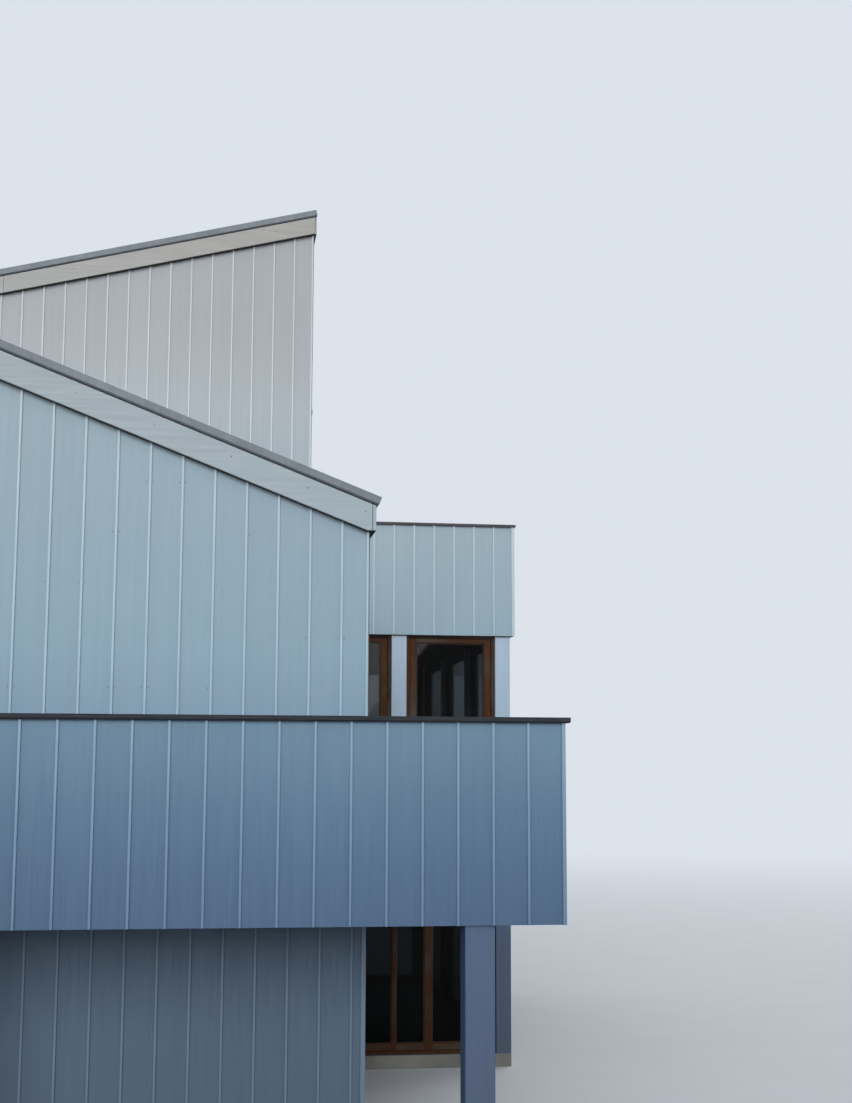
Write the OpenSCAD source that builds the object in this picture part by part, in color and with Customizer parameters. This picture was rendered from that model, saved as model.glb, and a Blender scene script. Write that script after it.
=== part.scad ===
/* [Plan] */
// Length of both blocks, from the land wall to the ocean wall
block_len = 7480; // [6500:10:9000]
// Depth of the front block, from its front wall to the middle wall
front_depth = 6800; // [6000:10:8000]
// Depth of the back block, from the middle wall to the far wall
back_depth = 6700; // [6000:10:8000]
// How far the flat roofed box reaches past the ocean wall
box_len = 2536; // [2200:1:3200]
// Depth of the front deck, from its parapet's face to the front wall
deck_depth = 1313; // [1000:1:2000]
// Width of the ocean gallery, from the ocean wall to its parapet's face
gallery_w = 1290; // [1000:10:1700]

/* [Levels] */
// Thickness of the ground slabs
slab_t = 150; // [100:10:300]
// Ground slab to second floor
lower_h = 2800; // [2600:10:3200]
// Second floor to the top of the front roof's edge, over the ocean wall
front_eave_h = 2748; // [2640:1:3200]
// Thickness of the timber floors
floor_t = 250; // [200:10:300]

/* [Walls] */
// Thickness of the boarded outer walls
wall_t = 160; // [120:5:250]
// Width of the passages through the middle wall
passage_w = 1200; // [900:10:1400]
// Distance of the passages from the ocean wall
passage_from_ocean = 1400; // [800:10:2200]

/* [Roofs] */
// Pitch of the front roof, falling towards the ocean, in degrees
front_pitch = 21.25; // [15:0.05:25]
// Pitch of the upper roof, rising towards the ocean, in degrees
upper_pitch = 14; // [8:0.1:20]
// Upright thickness of the roof decks
roof_t = 238; // [200:1:240]
// Upright height of the front roof's metal edge
front_edge_h = 85; // [60:1:120]
// Upright height of the upper roof's metal edge
upper_edge_h = 102; // [60:1:120]
// Upright height of the front roof's rake and eave boards
front_rake_h = 231; // [200:1:300]
// Upright height of the upper roof's rake and eave boards
upper_rake_h = 218; // [200:1:300]
// Thickness of the rake and eave boards
board_t = 38; // [25:1:50]
// Thickness of the board on the upper roof's ocean end
upper_board_t = 19; // [19:1:50]
// Packing between the upper ocean wall and that board
upper_pack = 19; // [12:1:30]
// Packing between a wall and its rake boards
trim_pack = 32; // [19:1:50]
// How far a roof's metal edge stands past its boards
edge_over = 12; // [6:1:25]
// How far a roof's metal edge rises over the roofing
edge_rise = 20; // [10:1:40]
// How far a roof's metal edge laps the roofing
edge_lap = 100; // [60:5:200]
// Joint left between boards that meet end to end
joint_gap = 2; // [1:0.5:5]

/* [Flat roofed box] */
// Second floor to the underside of the boarded band
box_head_h = 2201; // [2100:1:2500]
// Height of the beams that carry the third floor and the roof terrace
box_beam_h = 226; // [150:1:300]
// Roof terrace to the top of its boarded parapet's cap
box_guard_h = 914; // [800:1:1100]
// Thickness of the boarded band
band_t = 140; // [120:5:180]
// Thickness of the band's cap
band_cap_t = 30; // [20:1:50]
// How far the band's cap stands past the band
band_cap_over = 34; // [22:1:45]
// Width of the square posts
post_w = 184; // [150:1:220]
// How far the band stands in front of the posts
post_inset = 34; // [30:1:80]
// Distance of the inner post from the ocean wall
inner_post_x = 1031; // [850:1:1150]
// Height of the beams under the second floor, between the posts
rim_h = 400; // [300:10:500]

/* [Deck] */
// Height of the parapets' top over the deck
guard_h = 914; // [800:1:1100]
// How far the boarded parapets hang below the deck
skirt_h = 545; // [480:1:640]
// Thickness of the parapets
parapet_t = 120; // [100:5:160]
// Thickness of the parapets' caps
cap_t = 38; // [25:1:60]
// How far a cap stands past the parapet's outer face
cap_over = 52; // [30:1:80]
// How far a cap stands past the parapet's inner face
cap_in = 20; // [5:1:40]
// Thickness of the decking
decking_t = 38; // [25:1:50]
// Height of the deck joists
joist_h = 235; // [180:5:260]
// Thickness of the deck joists
joist_t = 38; // [30:1:60]
// Spacing of the deck joists
joist_step = 406; // [300:1:610]
// Width of the square columns under the front deck
column_w = 213; // [180:1:260]
// How far the columns stand behind the parapet's face
column_inset = 28; // [10:1:60]
// Ocean wall to the nearest column
column_x = 586; // [300:1:900]
// Spacing of the columns
column_step = 3800; // [3000:10:4200]

/* [Windows and doors] */
// Floor to the head of the doors and windows
head_h = 2083; // [2000:1:2140]
// Width of the glazed units in the boarded walls
unit_w = 1400; // [1000:10:1450]
// Width of the small windows
window_w = 1000; // [700:10:1300]
// Height of the small windows
window_h = 1150; // [800:10:1500]
// Height of the high windows that face the ocean
clerestory_h = 1000; // [600:10:1400]
// Wall left between the ocean doors and the high windows
clerestory_gap = 300; // [200:10:500]
// Width of the timber stiles and lower rails
stile_w = 125; // [80:1:150]
// Width of the timber head rails
head_rail_w = 85; // [60:1:120]
// Depth of the timber frames
frame_d = 90; // [60:1:110]
// Wall face to the timber frames
reveal = 40; // [20:1:50]
// Thickness of the sealed glazing
glass_t = 24; // [12:1:30]
// Ocean wall to the slim bar of the box's ground floor glazing
slim_bar_x = 1068; // [700:1:1300]
// Width of that slim bar
slim_bar_w = 40; // [30:1:80]
// Ocean wall to the broad bar of the box's ground floor glazing
broad_bar_x = 1460; // [1420:1:1700]
// Width of that broad bar
broad_bar_w = 84; // [60:1:120]
// Width of the entry doorway
entry_w = 1000; // [900:10:1200]
// Width of the entry frame's jambs and head
jamb_w = 45; // [30:1:60]
// Thickness of the entry door
door_t = 45; // [35:1:60]
// Room round the entry door in its frame
door_clear = 3; // [2:0.5:6]

/* [Hidden] */

// Overlap that a cutting shape needs to pass through a face
cut_over = 1;

// Levels
second_z = slab_t + lower_h;
box_low_z = second_z + box_head_h;
third_z = box_low_z + box_beam_h + floor_t;
box_top_z = third_z + box_guard_h;
band_top_z = box_top_z - band_cap_t;
guard_top_z = second_z + guard_h;
parapet_top_z = guard_top_z - cap_t;
skirt_z = second_z - skirt_h;
joist_top_z = second_z - decking_t;
joist_low_z = joist_top_z - joist_h;

// Wall faces, with the ocean wall's face at zero and the deck's face at zero
land_x = -block_len;
front_y = deck_depth;
middle_y = front_y + front_depth;
far_y = middle_y + back_depth;

// Insides
inner_land_x = land_x + wall_t;
inner_front_y = front_y + wall_t;
inner_middle_y = middle_y + wall_t;
inner_far_y = far_y - wall_t;

// Flat roofed box: outer faces of its posts, and what lies behind them
post_out_x = box_len - post_inset;
post_front_y = middle_y + post_inset;
post_far_y = far_y - post_inset;
post_in_x = post_out_x - post_w;
post_in_front_y = post_front_y + post_w;
post_in_far_y = post_far_y - post_w;
ocean_bays = 3;
ocean_pitch = (post_far_y - post_front_y - post_w) / ocean_bays;
inner_post_far_x = inner_post_x + post_w;

// Roof lines: height at the ocean wall's face, and the rise per unit of x.
// The two roofs meet at the land wall.
front_line = [second_z + front_eave_h, -tan(front_pitch)];
upper_line = [line_z(front_line, land_x) + block_len * tan(upper_pitch), tan(upper_pitch)];
roof_drop = edge_rise + roof_t;

// Parapets
gallery_in_x = gallery_w - parapet_t;
land_parapet_in_x = land_x + parapet_t;

// Passages
passage_x1 = -passage_from_ocean;
passage_x0 = passage_x1 - passage_w;

// Middle of the whole house on the ground, which becomes the origin
trim_out = trim_pack + board_t + edge_over;
upper_lean = line_lean(upper_line, upper_edge_h);
lowest_x = land_x - trim_out - upper_lean;
highest_x = box_len + band_cap_over;
centre_x = (lowest_x + highest_x) / 2;
centre_y = (far_y + trim_out - cap_over) / 2;

function line_z(line, x) = line[0] + line[1] * x;

// How far a cut at right angles to a roof line leans along x in a height
function line_lean(line, height) = abs(line[1]) * height / (1 + line[1] * line[1]);

// Outline under a roof line with upright ends, from one depth below it to another
function strip(line, x0, x1, low, high) = [
    [x0, line_z(line, x0) - low],
    [x1, line_z(line, x1) - low],
    [x1, line_z(line, x1) - high],
    [x0, line_z(line, x0) - high]];

// The same with ends at right angles to the line, the x values being at its foot
function square_strip(line, x0, x1, low) =
    let (lean = -sign(line[1]) * line_lean(line, low)) [
    [x0, line_z(line, x0) - low],
    [x1, line_z(line, x1) - low],
    [x1 + lean, line_z(line, x1 + lean)],
    [x0 + lean, line_z(line, x0 + lean)]];

// Outline of a wall or board that ends a depth below a roof line
function under_line(line, x0, x1, foot_z, drop) = [
    [x0, foot_z],
    [x1, foot_z],
    [x1, line_z(line, x1) - drop],
    [x0, line_z(line, x0) - drop]];

// A wall's side is its face and the turn that points its outside away from the house
front_side = [front_y, 0];
ocean_side = [0, 90];
far_side = [far_y, 180];
land_side = [land_x, 270];
box_front_side = [post_front_y, 0];
box_ocean_side = [post_out_x, 90];
box_far_side = [post_far_y, 180];

// Start of a unit in the middle of one of a wall's equal bays
function bay_start(start, length, bays, bay, width) =
    start + length * (bay + 1 / 2) / bays - width / 2;

// Glazed units: storey, start along the wall, width, sill, height and bars
front_bays = 3;
front_units = [for (storey = [1, 2])
    [storey, bay_start(land_x, block_len, front_bays, 0, unit_w) + wall_t, unit_w,
     storey == 1 ? slab_t : second_z, head_h, []]];
ocean_units = [for (storey = [1, 2]) for (bay = [0 : front_bays - 1])
    [storey, bay_start(front_y, front_depth, front_bays, bay, unit_w), unit_w,
     storey == 1 ? slab_t : second_z, head_h, []]];
sill_h = head_h - window_h;
front_land_units = [for (storey = [1, 2]) for (bay = [0, front_bays - 1])
    [storey, bay_start(front_y, front_depth, front_bays, bay, window_w), window_w,
     (storey == 1 ? slab_t : second_z) + sill_h, window_h, []]];
storey_levels = [slab_t, second_z, third_z];
back_land_units = [for (storey = [1 : 3])
    [storey, bay_start(middle_y, back_depth, 1, 0, window_w), window_w,
     storey_levels[storey - 1] + sill_h, window_h, []]];
far_bays = 2;
far_units = [for (storey = [1 : 3]) for (bay = [0 : far_bays - 1])
    [storey, bay_start(land_x, block_len, far_bays, bay, window_w), window_w,
     storey_levels[storey - 1] + sill_h, window_h, []]];
clerestory_z = third_z + head_h + clerestory_gap;
upper_door_units = [for (bay = [0 : ocean_bays - 1])
    [3, bay_start(middle_y, back_depth, ocean_bays, bay, unit_w), unit_w,
     third_z, head_h, []]];
clerestory_units = [for (bay = [0 : ocean_bays - 1])
    [3, bay_start(middle_y, back_depth, ocean_bays, bay, unit_w), unit_w,
     clerestory_z, clerestory_h, []]];
upper_units = concat(upper_door_units, clerestory_units);

// Glazing between the box's posts
lower_glass_h = second_z - rim_h - slab_t;
wide_bars = [[slim_bar_x, slim_bar_w], [broad_bar_x, broad_bar_w]];
inner_bay = [0, inner_post_x];
outer_bay = [inner_post_far_x, post_in_x - inner_post_far_x];
box_front_units = [
    [1, 0, post_in_x, slab_t, lower_glass_h, wide_bars],
    [2, inner_bay[0], inner_bay[1], second_z, box_head_h, []],
    [2, outer_bay[0], outer_bay[1], second_z, box_head_h, []]];
box_ocean_units = [for (storey = [1, 2]) for (bay = [0 : ocean_bays - 1])
    [storey, post_in_front_y + bay * ocean_pitch, ocean_pitch - post_w,
     storey == 1 ? slab_t : second_z, storey == 1 ? lower_glass_h : box_head_h, []]];
box_far_units = [for (storey = [1, 2]) for (bay = [inner_bay, outer_bay])
    [storey, bay[0], bay[1], storey == 1 ? slab_t : second_z,
     storey == 1 ? lower_glass_h : box_head_h, []]];

glazing = concat(
    [for (unit = front_units) [front_side, unit]],
    [for (unit = ocean_units) [ocean_side, unit]],
    [for (unit = front_land_units) [land_side, unit]],
    [for (unit = back_land_units) [land_side, unit]],
    [for (unit = far_units) [far_side, unit]],
    [for (unit = upper_units) [ocean_side, unit]],
    [for (unit = box_front_units) [box_front_side, unit]],
    [for (unit = box_ocean_units) [box_ocean_side, unit]],
    [for (unit = box_far_units) [box_far_side, unit]]);

// Entry doorway in the middle of the front block's land wall
entry_unit = [1, bay_start(front_y, front_depth, 1, 0, entry_w), entry_w, slab_t, head_h, []];

module house() {
    translate([-centre_x, -centre_y, 0]) children();
}

// A box between two corners
module block(low, high) {
    translate(low) cube(high - low);
}

// An outline in x and z, carried along y
module along_y(points, y0, y1) {
    translate([0, y1, 0]) rotate([90, 0, 0]) linear_extrude(y1 - y0) polygon(points);
}

// Puts a unit drawn from its lower corner, inwards along y, into a side of the house
module in_side(side, unit) {
    runs_on = side[1] == 0 || side[1] == 90;
    start = runs_on ? unit[1] : unit[1] + unit[2];
    faces_y = side[1] == 0 || side[1] == 180;
    spot = faces_y ? [start, side[0], unit[3]] : [side[0], start, unit[3]];
    translate(spot) rotate([0, 0, side[1]]) children();
}

module cut_units(side, units) {
    for (unit = units)
        in_side(side, unit)
            translate([0, -cut_over, 0])
                cube([unit[2], wall_t + 2 * cut_over, unit[4]]);
}

// Clear lights of a unit, between its stiles and bars
function light_starts(unit) = concat([stile_w], [for (bar = unit[5]) bar[0] + bar[1]]);
function light_ends(unit) = concat([for (bar = unit[5]) bar[0]], [unit[2] - stile_w]);

module lights(unit, depth) {
    starts = light_starts(unit);
    ends = light_ends(unit);
    for (i = [0 : len(starts) - 1])
        translate([starts[i], 0, stile_w])
            cube([ends[i] - starts[i], depth, unit[4] - stile_w - head_rail_w]);
}

module window_frame(unit) {
    translate([0, reveal, 0])
        difference() {
            cube([unit[2], frame_d, unit[4]]);
            translate([0, -cut_over, 0]) lights(unit, frame_d + 2 * cut_over);
        }
}

module window_panes(unit) {
    translate([0, reveal + (frame_d - glass_t) / 2, 0]) lights(unit, glass_t);
}

module storey_frames(storey) {
    color([0.29, 0.20, 0.14]) house()
        for (place = glazing)
            if (place[1][0] == storey) in_side(place[0], place[1]) window_frame(place[1]);
}

module storey_glass(storey) {
    color([0.10, 0.12, 0.14]) house()
        for (place = glazing)
            if (place[1][0] == storey) in_side(place[0], place[1]) window_panes(place[1]);
}

// Slabs of the front block, the back block and the box, with a joint between them
module ground_slabs() {
    color([0.62, 0.61, 0.59]) house() {
        block([land_x, front_y, 0], [0, middle_y - joint_gap, slab_t]);
        block([land_x, middle_y, 0], [0, far_y, slab_t]);
        block([joint_gap, post_front_y, 0], [post_out_x, post_far_y, slab_t]);
    }
}

module front_wall() {
    color([0.80, 0.83, 0.86]) house()
        difference() {
            along_y(under_line(front_line, land_x, 0, slab_t, roof_drop), front_y, inner_front_y);
            cut_units(front_side, front_units);
        }
}

module front_ocean_wall() {
    color([0.78, 0.82, 0.85]) house()
        difference() {
            along_y(under_line(front_line, -wall_t, 0, slab_t, roof_drop), inner_front_y, middle_y);
            cut_units(ocean_side, ocean_units);
        }
}

module front_land_wall() {
    color([0.78, 0.82, 0.85]) house()
        difference() {
            along_y(under_line(front_line, land_x, inner_land_x, slab_t, roof_drop),
                    inner_front_y, middle_y);
            cut_units(land_side, front_land_units);
            cut_units(land_side, [entry_unit]);
        }
}

module middle_wall_sides() {
    color([0.82, 0.84, 0.86]) house() {
        along_y(under_line(upper_line, land_x, passage_x0, slab_t, roof_drop),
                middle_y, inner_middle_y);
        along_y(under_line(upper_line, passage_x1, 0, slab_t, roof_drop),
                middle_y, inner_middle_y);
    }
}

module middle_wall_spans() {
    color([0.82, 0.84, 0.86]) house() {
        block([passage_x0, middle_y, slab_t + head_h], [passage_x1, inner_middle_y, second_z]);
        along_y(under_line(upper_line, passage_x0, passage_x1, second_z + head_h, roof_drop),
                middle_y, inner_middle_y);
    }
}

module far_wall() {
    color([0.80, 0.83, 0.86]) house()
        difference() {
            along_y(under_line(upper_line, land_x, 0, slab_t, roof_drop), inner_far_y, far_y);
            cut_units(far_side, far_units);
        }
}

module back_land_wall() {
    color([0.78, 0.82, 0.85]) house()
        difference() {
            along_y(under_line(upper_line, land_x, inner_land_x, slab_t, roof_drop),
                    inner_middle_y, inner_far_y);
            cut_units(land_side, back_land_units);
        }
}

module upper_ocean_wall() {
    color([0.78, 0.82, 0.85]) house()
        difference() {
            along_y(under_line(upper_line, -wall_t, 0, third_z, roof_drop),
                    inner_middle_y, inner_far_y);
            cut_units(ocean_side, upper_units);
        }
}

// Floors of the front block, the back block and the box, with a joint between them
module second_floor() {
    low_z = second_z - floor_t;
    color([0.62, 0.50, 0.36]) house() {
        block([inner_land_x, inner_front_y, low_z], [-wall_t, middle_y, second_z]);
        block([inner_land_x, inner_middle_y, low_z], [0, inner_far_y, second_z]);
        block([joint_gap, post_in_front_y, low_z], [post_in_x, post_in_far_y, second_z]);
    }
}

module upper_floor() {
    color([0.62, 0.50, 0.36]) house()
        block([inner_land_x, inner_middle_y, third_z - floor_t], [0, inner_far_y, third_z]);
}

module post(x, y, foot_z) {
    block([x, y, foot_z], [x + post_w, y + post_w, box_low_z]);
}

module box_posts() {
    color([0.86, 0.89, 0.92]) house() {
        for (bay = [0 : ocean_bays]) post(post_in_x, post_front_y + bay * ocean_pitch, slab_t);
        post(inner_post_x, post_front_y, second_z);
        post(inner_post_x, post_in_far_y, slab_t);
    }
}

module box_rim_beams() {
    low_z = second_z - rim_h;
    color([0.80, 0.83, 0.86]) house() {
        block([0, post_front_y, low_z], [post_in_x, post_in_front_y, second_z]);
        for (bay = [inner_bay, outer_bay])
            block([bay[0], post_in_far_y, low_z], [bay[0] + bay[1], post_far_y, second_z]);
        for (bay = [0 : ocean_bays - 1]) {
            start_y = post_in_front_y + bay * ocean_pitch;
            block([post_in_x, start_y, low_z],
                  [post_out_x, start_y + ocean_pitch - post_w, second_z]);
        }
    }
}

// Beams on the posts behind the band, and one under the upper ocean wall
module box_beams() {
    top_z = third_z - floor_t;
    beam_front_y = middle_y + band_t;
    beam_far_y = far_y - band_t;
    beam_out_x = box_len - band_t;
    color([0.55, 0.45, 0.34]) house() {
        block([0, beam_front_y, box_low_z], [beam_out_x, post_in_front_y, top_z]);
        block([0, post_in_far_y, box_low_z], [beam_out_x, beam_far_y, top_z]);
        block([post_in_x, post_in_front_y + joint_gap, box_low_z],
              [beam_out_x, post_in_far_y - joint_gap, top_z]);
        block([-wall_t, inner_middle_y, box_low_z], [-joint_gap, inner_far_y, top_z]);
    }
}

module box_front_band() {
    color([0.80, 0.83, 0.86]) house()
        block([0, middle_y, box_low_z], [box_len, middle_y + band_t, band_top_z]);
}

module box_far_band() {
    color([0.80, 0.83, 0.86]) house()
        block([0, far_y - band_t, box_low_z], [box_len, far_y, band_top_z]);
}

module box_ocean_band() {
    color([0.80, 0.83, 0.86]) house()
        block([box_len - band_t, middle_y + band_t, box_low_z],
              [box_len, far_y - band_t, band_top_z]);
}

module box_caps() {
    cap_in_front_y = middle_y + band_t + band_cap_over;
    cap_in_far_y = far_y - band_t - band_cap_over;
    cap_out_x = box_len + band_cap_over;
    color([0.25, 0.26, 0.28]) house() {
        block([0, middle_y - band_cap_over, band_top_z], [cap_out_x, cap_in_front_y, box_top_z]);
        block([0, cap_in_far_y, band_top_z], [cap_out_x, far_y + band_cap_over, box_top_z]);
        block([box_len - band_t - band_cap_over, cap_in_front_y + joint_gap, band_top_z],
              [cap_out_x, cap_in_far_y - joint_gap, box_top_z]);
    }
}

module terrace_roof() {
    color([0.45, 0.46, 0.47]) house()
        block([0, middle_y + band_t, third_z - floor_t], [box_len - band_t, far_y - band_t, third_z]);
}

module front_roof() {
    color([0.45, 0.46, 0.47]) house()
        along_y(strip(front_line, land_x - trim_pack, trim_pack, roof_drop, edge_rise),
                front_y - trim_pack, middle_y);
}

// The space that the front roof and its edge take, where the upper roof's trim stops
module front_roof_space() {
    reach = trim_out + upper_pack + upper_board_t + wall_t;
    along_y(under_line(front_line, land_x - reach, reach, second_z, 0), 0, middle_y);
}

module upper_roof() {
    color([0.45, 0.46, 0.47]) house()
        difference() {
            along_y(strip(upper_line, land_x - trim_pack, upper_pack, roof_drop, edge_rise),
                    middle_y - trim_pack, far_y + trim_pack);
            front_roof_space();
        }
}

module rake_boards() {
    front_low = front_edge_h + front_rake_h;
    upper_low = upper_edge_h + upper_rake_h;
    upper_outline = strip(upper_line, land_x - trim_pack, upper_pack, upper_low, upper_edge_h);
    color([0.76, 0.79, 0.81]) house() {
        along_y(strip(front_line, land_x - trim_pack, trim_pack, front_low, front_edge_h),
                front_y - trim_pack - board_t, front_y - trim_pack);
        difference() {
            along_y(upper_outline, middle_y - trim_pack - board_t, middle_y - trim_pack);
            front_roof_space();
        }
        along_y(upper_outline, far_y + trim_pack, far_y + trim_pack + board_t);
    }
}

module eave_boards() {
    board_out = trim_pack + board_t;
    upper_board_out = upper_pack + upper_board_t;
    front_foot = line_z(front_line, 0) - front_edge_h - front_rake_h;
    front_land_foot = line_z(front_line, land_x) - front_edge_h - front_rake_h;
    upper_foot = line_z(upper_line, 0) - upper_edge_h - upper_rake_h;
    upper_land_foot = line_z(upper_line, land_x) - upper_edge_h - upper_rake_h;
    color([0.76, 0.79, 0.81]) house() {
        along_y(under_line(front_line, trim_pack, board_out, front_foot, front_edge_h),
                front_y - board_out, middle_y);
        along_y(under_line(front_line, land_x - board_out, land_x - trim_pack,
                           front_land_foot, front_edge_h),
                front_y - board_out, middle_y - joint_gap);
        difference() {
            along_y(under_line(upper_line, upper_pack, upper_board_out, upper_foot, upper_edge_h),
                    middle_y - board_out, far_y + board_out);
            front_roof_space();
        }
        difference() {
            along_y(under_line(upper_line, land_x - board_out, land_x - trim_pack,
                               upper_land_foot, upper_edge_h),
                    middle_y - board_out, far_y + board_out);
            front_roof_space();
        }
    }
}

module front_roof_edge() {
    board_out = trim_pack + board_t;
    foot_out = board_out + edge_over;
    slab_in = edge_lap - trim_pack;
    color([0.42, 0.44, 0.46]) house()
        difference() {
            along_y(square_strip(front_line, land_x - foot_out, foot_out, front_edge_h),
                    front_y - foot_out, middle_y);
            along_y(strip(front_line, land_x - trim_pack, trim_pack, roof_drop, edge_rise),
                    front_y - trim_pack, middle_y + cut_over);
            along_y(strip(front_line, land_x + slab_in, -slab_in, roof_drop, -edge_rise),
                    front_y + slab_in, middle_y + cut_over);
        }
}

module upper_roof_edge() {
    foot_out = trim_pack + board_t + edge_over;
    slab_in = edge_lap - trim_pack;
    ocean_in = edge_lap - upper_pack;
    ocean_foot = upper_pack + upper_board_t + edge_over;
    color([0.42, 0.43, 0.45]) house()
        difference() {
            along_y(square_strip(upper_line, land_x - foot_out, ocean_foot, upper_edge_h),
                    middle_y - foot_out, far_y + foot_out);
            along_y(strip(upper_line, land_x - trim_pack, upper_pack, roof_drop, edge_rise),
                    middle_y - trim_pack, far_y + trim_pack);
            along_y(strip(upper_line, land_x + slab_in, -ocean_in, roof_drop, -edge_rise),
                    middle_y + slab_in, far_y - slab_in);
            front_roof_space();
        }
}

module deck_floor() {
    color([0.40, 0.38, 0.36]) house()
        block([land_parapet_in_x, parapet_t, joist_top_z], [gallery_in_x, front_y, second_z]);
}

module gallery_floor() {
    color([0.40, 0.38, 0.36]) house()
        block([0, front_y, joist_top_z], [gallery_in_x, post_front_y, second_z]);
}

// Joists of the front deck, and those of the gallery, which run out from the ocean wall
module deck_joists() {
    color([0.48, 0.42, 0.34]) house() {
        for (x = [land_parapet_in_x : joist_step : gallery_in_x - joist_t])
            block([x, parapet_t, joist_low_z], [x + joist_t, front_y, joist_top_z]);
        for (y = [front_y + joist_step : joist_step : post_front_y - joist_t])
            block([0, y, joist_low_z], [gallery_in_x - joist_t, y + joist_t, joist_top_z]);
    }
}

// The front deck's beam on its columns, and the rim that ties the gallery's joists
module deck_beams() {
    color([0.48, 0.42, 0.34]) house() {
        block([land_parapet_in_x, parapet_t, skirt_z],
              [gallery_in_x, column_inset + column_w, joist_low_z]);
        block([gallery_in_x - joist_t, front_y, joist_low_z],
              [gallery_in_x, post_front_y, joist_top_z]);
    }
}

module deck_columns() {
    last = floor((block_len + column_x) / column_step);
    color([0.84, 0.88, 0.92]) house()
        for (i = [0 : last])
            translate([column_x - i * column_step, column_inset, 0])
                cube([column_w, column_w, skirt_z]);
}

module front_parapet() {
    color([0.80, 0.84, 0.88]) house()
        block([land_x, 0, skirt_z], [gallery_w, parapet_t, parapet_top_z]);
}

module ocean_parapet() {
    color([0.80, 0.84, 0.88]) house()
        block([gallery_in_x, parapet_t, skirt_z], [gallery_w, post_front_y, parapet_top_z]);
}

module land_parapet() {
    color([0.80, 0.84, 0.88]) house()
        block([land_x, parapet_t, skirt_z], [land_parapet_in_x, front_y, parapet_top_z]);
}

module deck_caps() {
    back_y = parapet_t + cap_in;
    color([0.24, 0.26, 0.28]) house() {
        block([land_x - cap_over, -cap_over, parapet_top_z],
              [gallery_w + cap_over, back_y, guard_top_z]);
        block([gallery_in_x - cap_in, back_y + joint_gap, parapet_top_z],
              [gallery_w + cap_over, post_front_y, guard_top_z]);
        block([land_x - cap_over, back_y + joint_gap, parapet_top_z],
              [land_parapet_in_x + cap_in, front_y, guard_top_z]);
    }
}

module ground_window_frames() {
    storey_frames(1);
}

module second_window_frames() {
    storey_frames(2);
}

module upper_window_frames() {
    storey_frames(3);
}

module ground_glass() {
    storey_glass(1);
}

module second_glass() {
    storey_glass(2);
}

module upper_glass() {
    storey_glass(3);
}

module entry_frame() {
    color([0.33, 0.23, 0.16]) house()
        in_side(land_side, entry_unit)
            translate([0, reveal, 0])
                difference() {
                    cube([entry_w, frame_d, head_h]);
                    translate([jamb_w, -cut_over, -cut_over])
                        cube([entry_w - 2 * jamb_w, frame_d + 2 * cut_over,
                              head_h - jamb_w + cut_over]);
                }
}

module entry_door() {
    color([0.36, 0.25, 0.17]) house()
        in_side(land_side, entry_unit)
            translate([jamb_w + door_clear, reveal, 0])
                cube([entry_w - 2 * (jamb_w + door_clear), door_t,
                      head_h - jamb_w - door_clear]);
}

ground_slabs();
front_wall();
front_ocean_wall();
front_land_wall();
middle_wall_sides();
middle_wall_spans();
far_wall();
back_land_wall();
upper_ocean_wall();
second_floor();
upper_floor();
box_posts();
box_rim_beams();
box_beams();
box_front_band();
box_ocean_band();
box_far_band();
box_caps();
terrace_roof();
front_roof();
upper_roof();
rake_boards();
eave_boards();
front_roof_edge();
upper_roof_edge();
deck_floor();
gallery_floor();
deck_joists();
deck_beams();
deck_columns();
front_parapet();
ocean_parapet();
land_parapet();
deck_caps();
ground_window_frames();
second_window_frames();
upper_window_frames();
ground_glass();
second_glass();
upper_glass();
entry_frame();
entry_door();
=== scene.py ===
import logging
import math
from dataclasses import dataclass, field
from enum import Enum

import bmesh
import bpy
import numpy as np
from mathutils import Matrix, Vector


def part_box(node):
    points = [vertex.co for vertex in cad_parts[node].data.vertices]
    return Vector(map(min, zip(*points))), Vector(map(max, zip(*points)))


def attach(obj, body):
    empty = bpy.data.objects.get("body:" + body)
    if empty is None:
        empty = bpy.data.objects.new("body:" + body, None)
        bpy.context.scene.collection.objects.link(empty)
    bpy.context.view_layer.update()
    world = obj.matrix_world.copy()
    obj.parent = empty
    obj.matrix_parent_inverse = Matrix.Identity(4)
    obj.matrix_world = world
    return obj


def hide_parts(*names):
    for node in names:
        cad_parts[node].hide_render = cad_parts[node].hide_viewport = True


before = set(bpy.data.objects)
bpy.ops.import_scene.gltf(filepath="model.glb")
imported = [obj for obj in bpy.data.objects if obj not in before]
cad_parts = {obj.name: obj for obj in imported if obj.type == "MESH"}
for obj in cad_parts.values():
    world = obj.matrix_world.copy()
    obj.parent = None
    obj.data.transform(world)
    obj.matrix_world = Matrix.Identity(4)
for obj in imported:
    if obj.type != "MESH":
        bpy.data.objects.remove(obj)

# Sizes are in metres. House coordinates start at the ocean walls' face (x), at the face of
# the front deck's parapet (y) and at the ground (z): x runs to the ocean, y away from the deck.

LOG = logging.getLogger("beach_house")
Array = np.ndarray
Material = bpy.types.Material
Socket = bpy.types.NodeSocket
Inputs = dict[str, object]
Pair = tuple[float, float]
ORIGIN = np.array([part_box("front_ocean_wall")[1].x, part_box("front_parapet")[0].y, 0.0])
BODY = "root"
GRAIN_ATTRIBUTE = "board"
MM_PER_M = 1000.0
NOISE_REACH = (0.3, 0.7)
COLOURS = {"out": 2, "data_type": "RGBA"}


class Slot(Enum):
    """Material slots of the record, one named for each new piece."""

    WALLS = "boarded_walls"
    TRIM = "pale_trim"
    POSTS = "pale_posts"
    EDGE_METAL = "roof_edge_metal"
    ROOFING = "roofing"
    DECKING = "decking"
    CAP = "dark_cap"
    WINDOW = "window_timber"
    DOOR = "door_timber"


class Storey(Enum):
    """Storeys, as the window nodes' names begin."""

    GROUND = "ground"
    SECOND = "second"
    UPPER = "upper"


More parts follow.
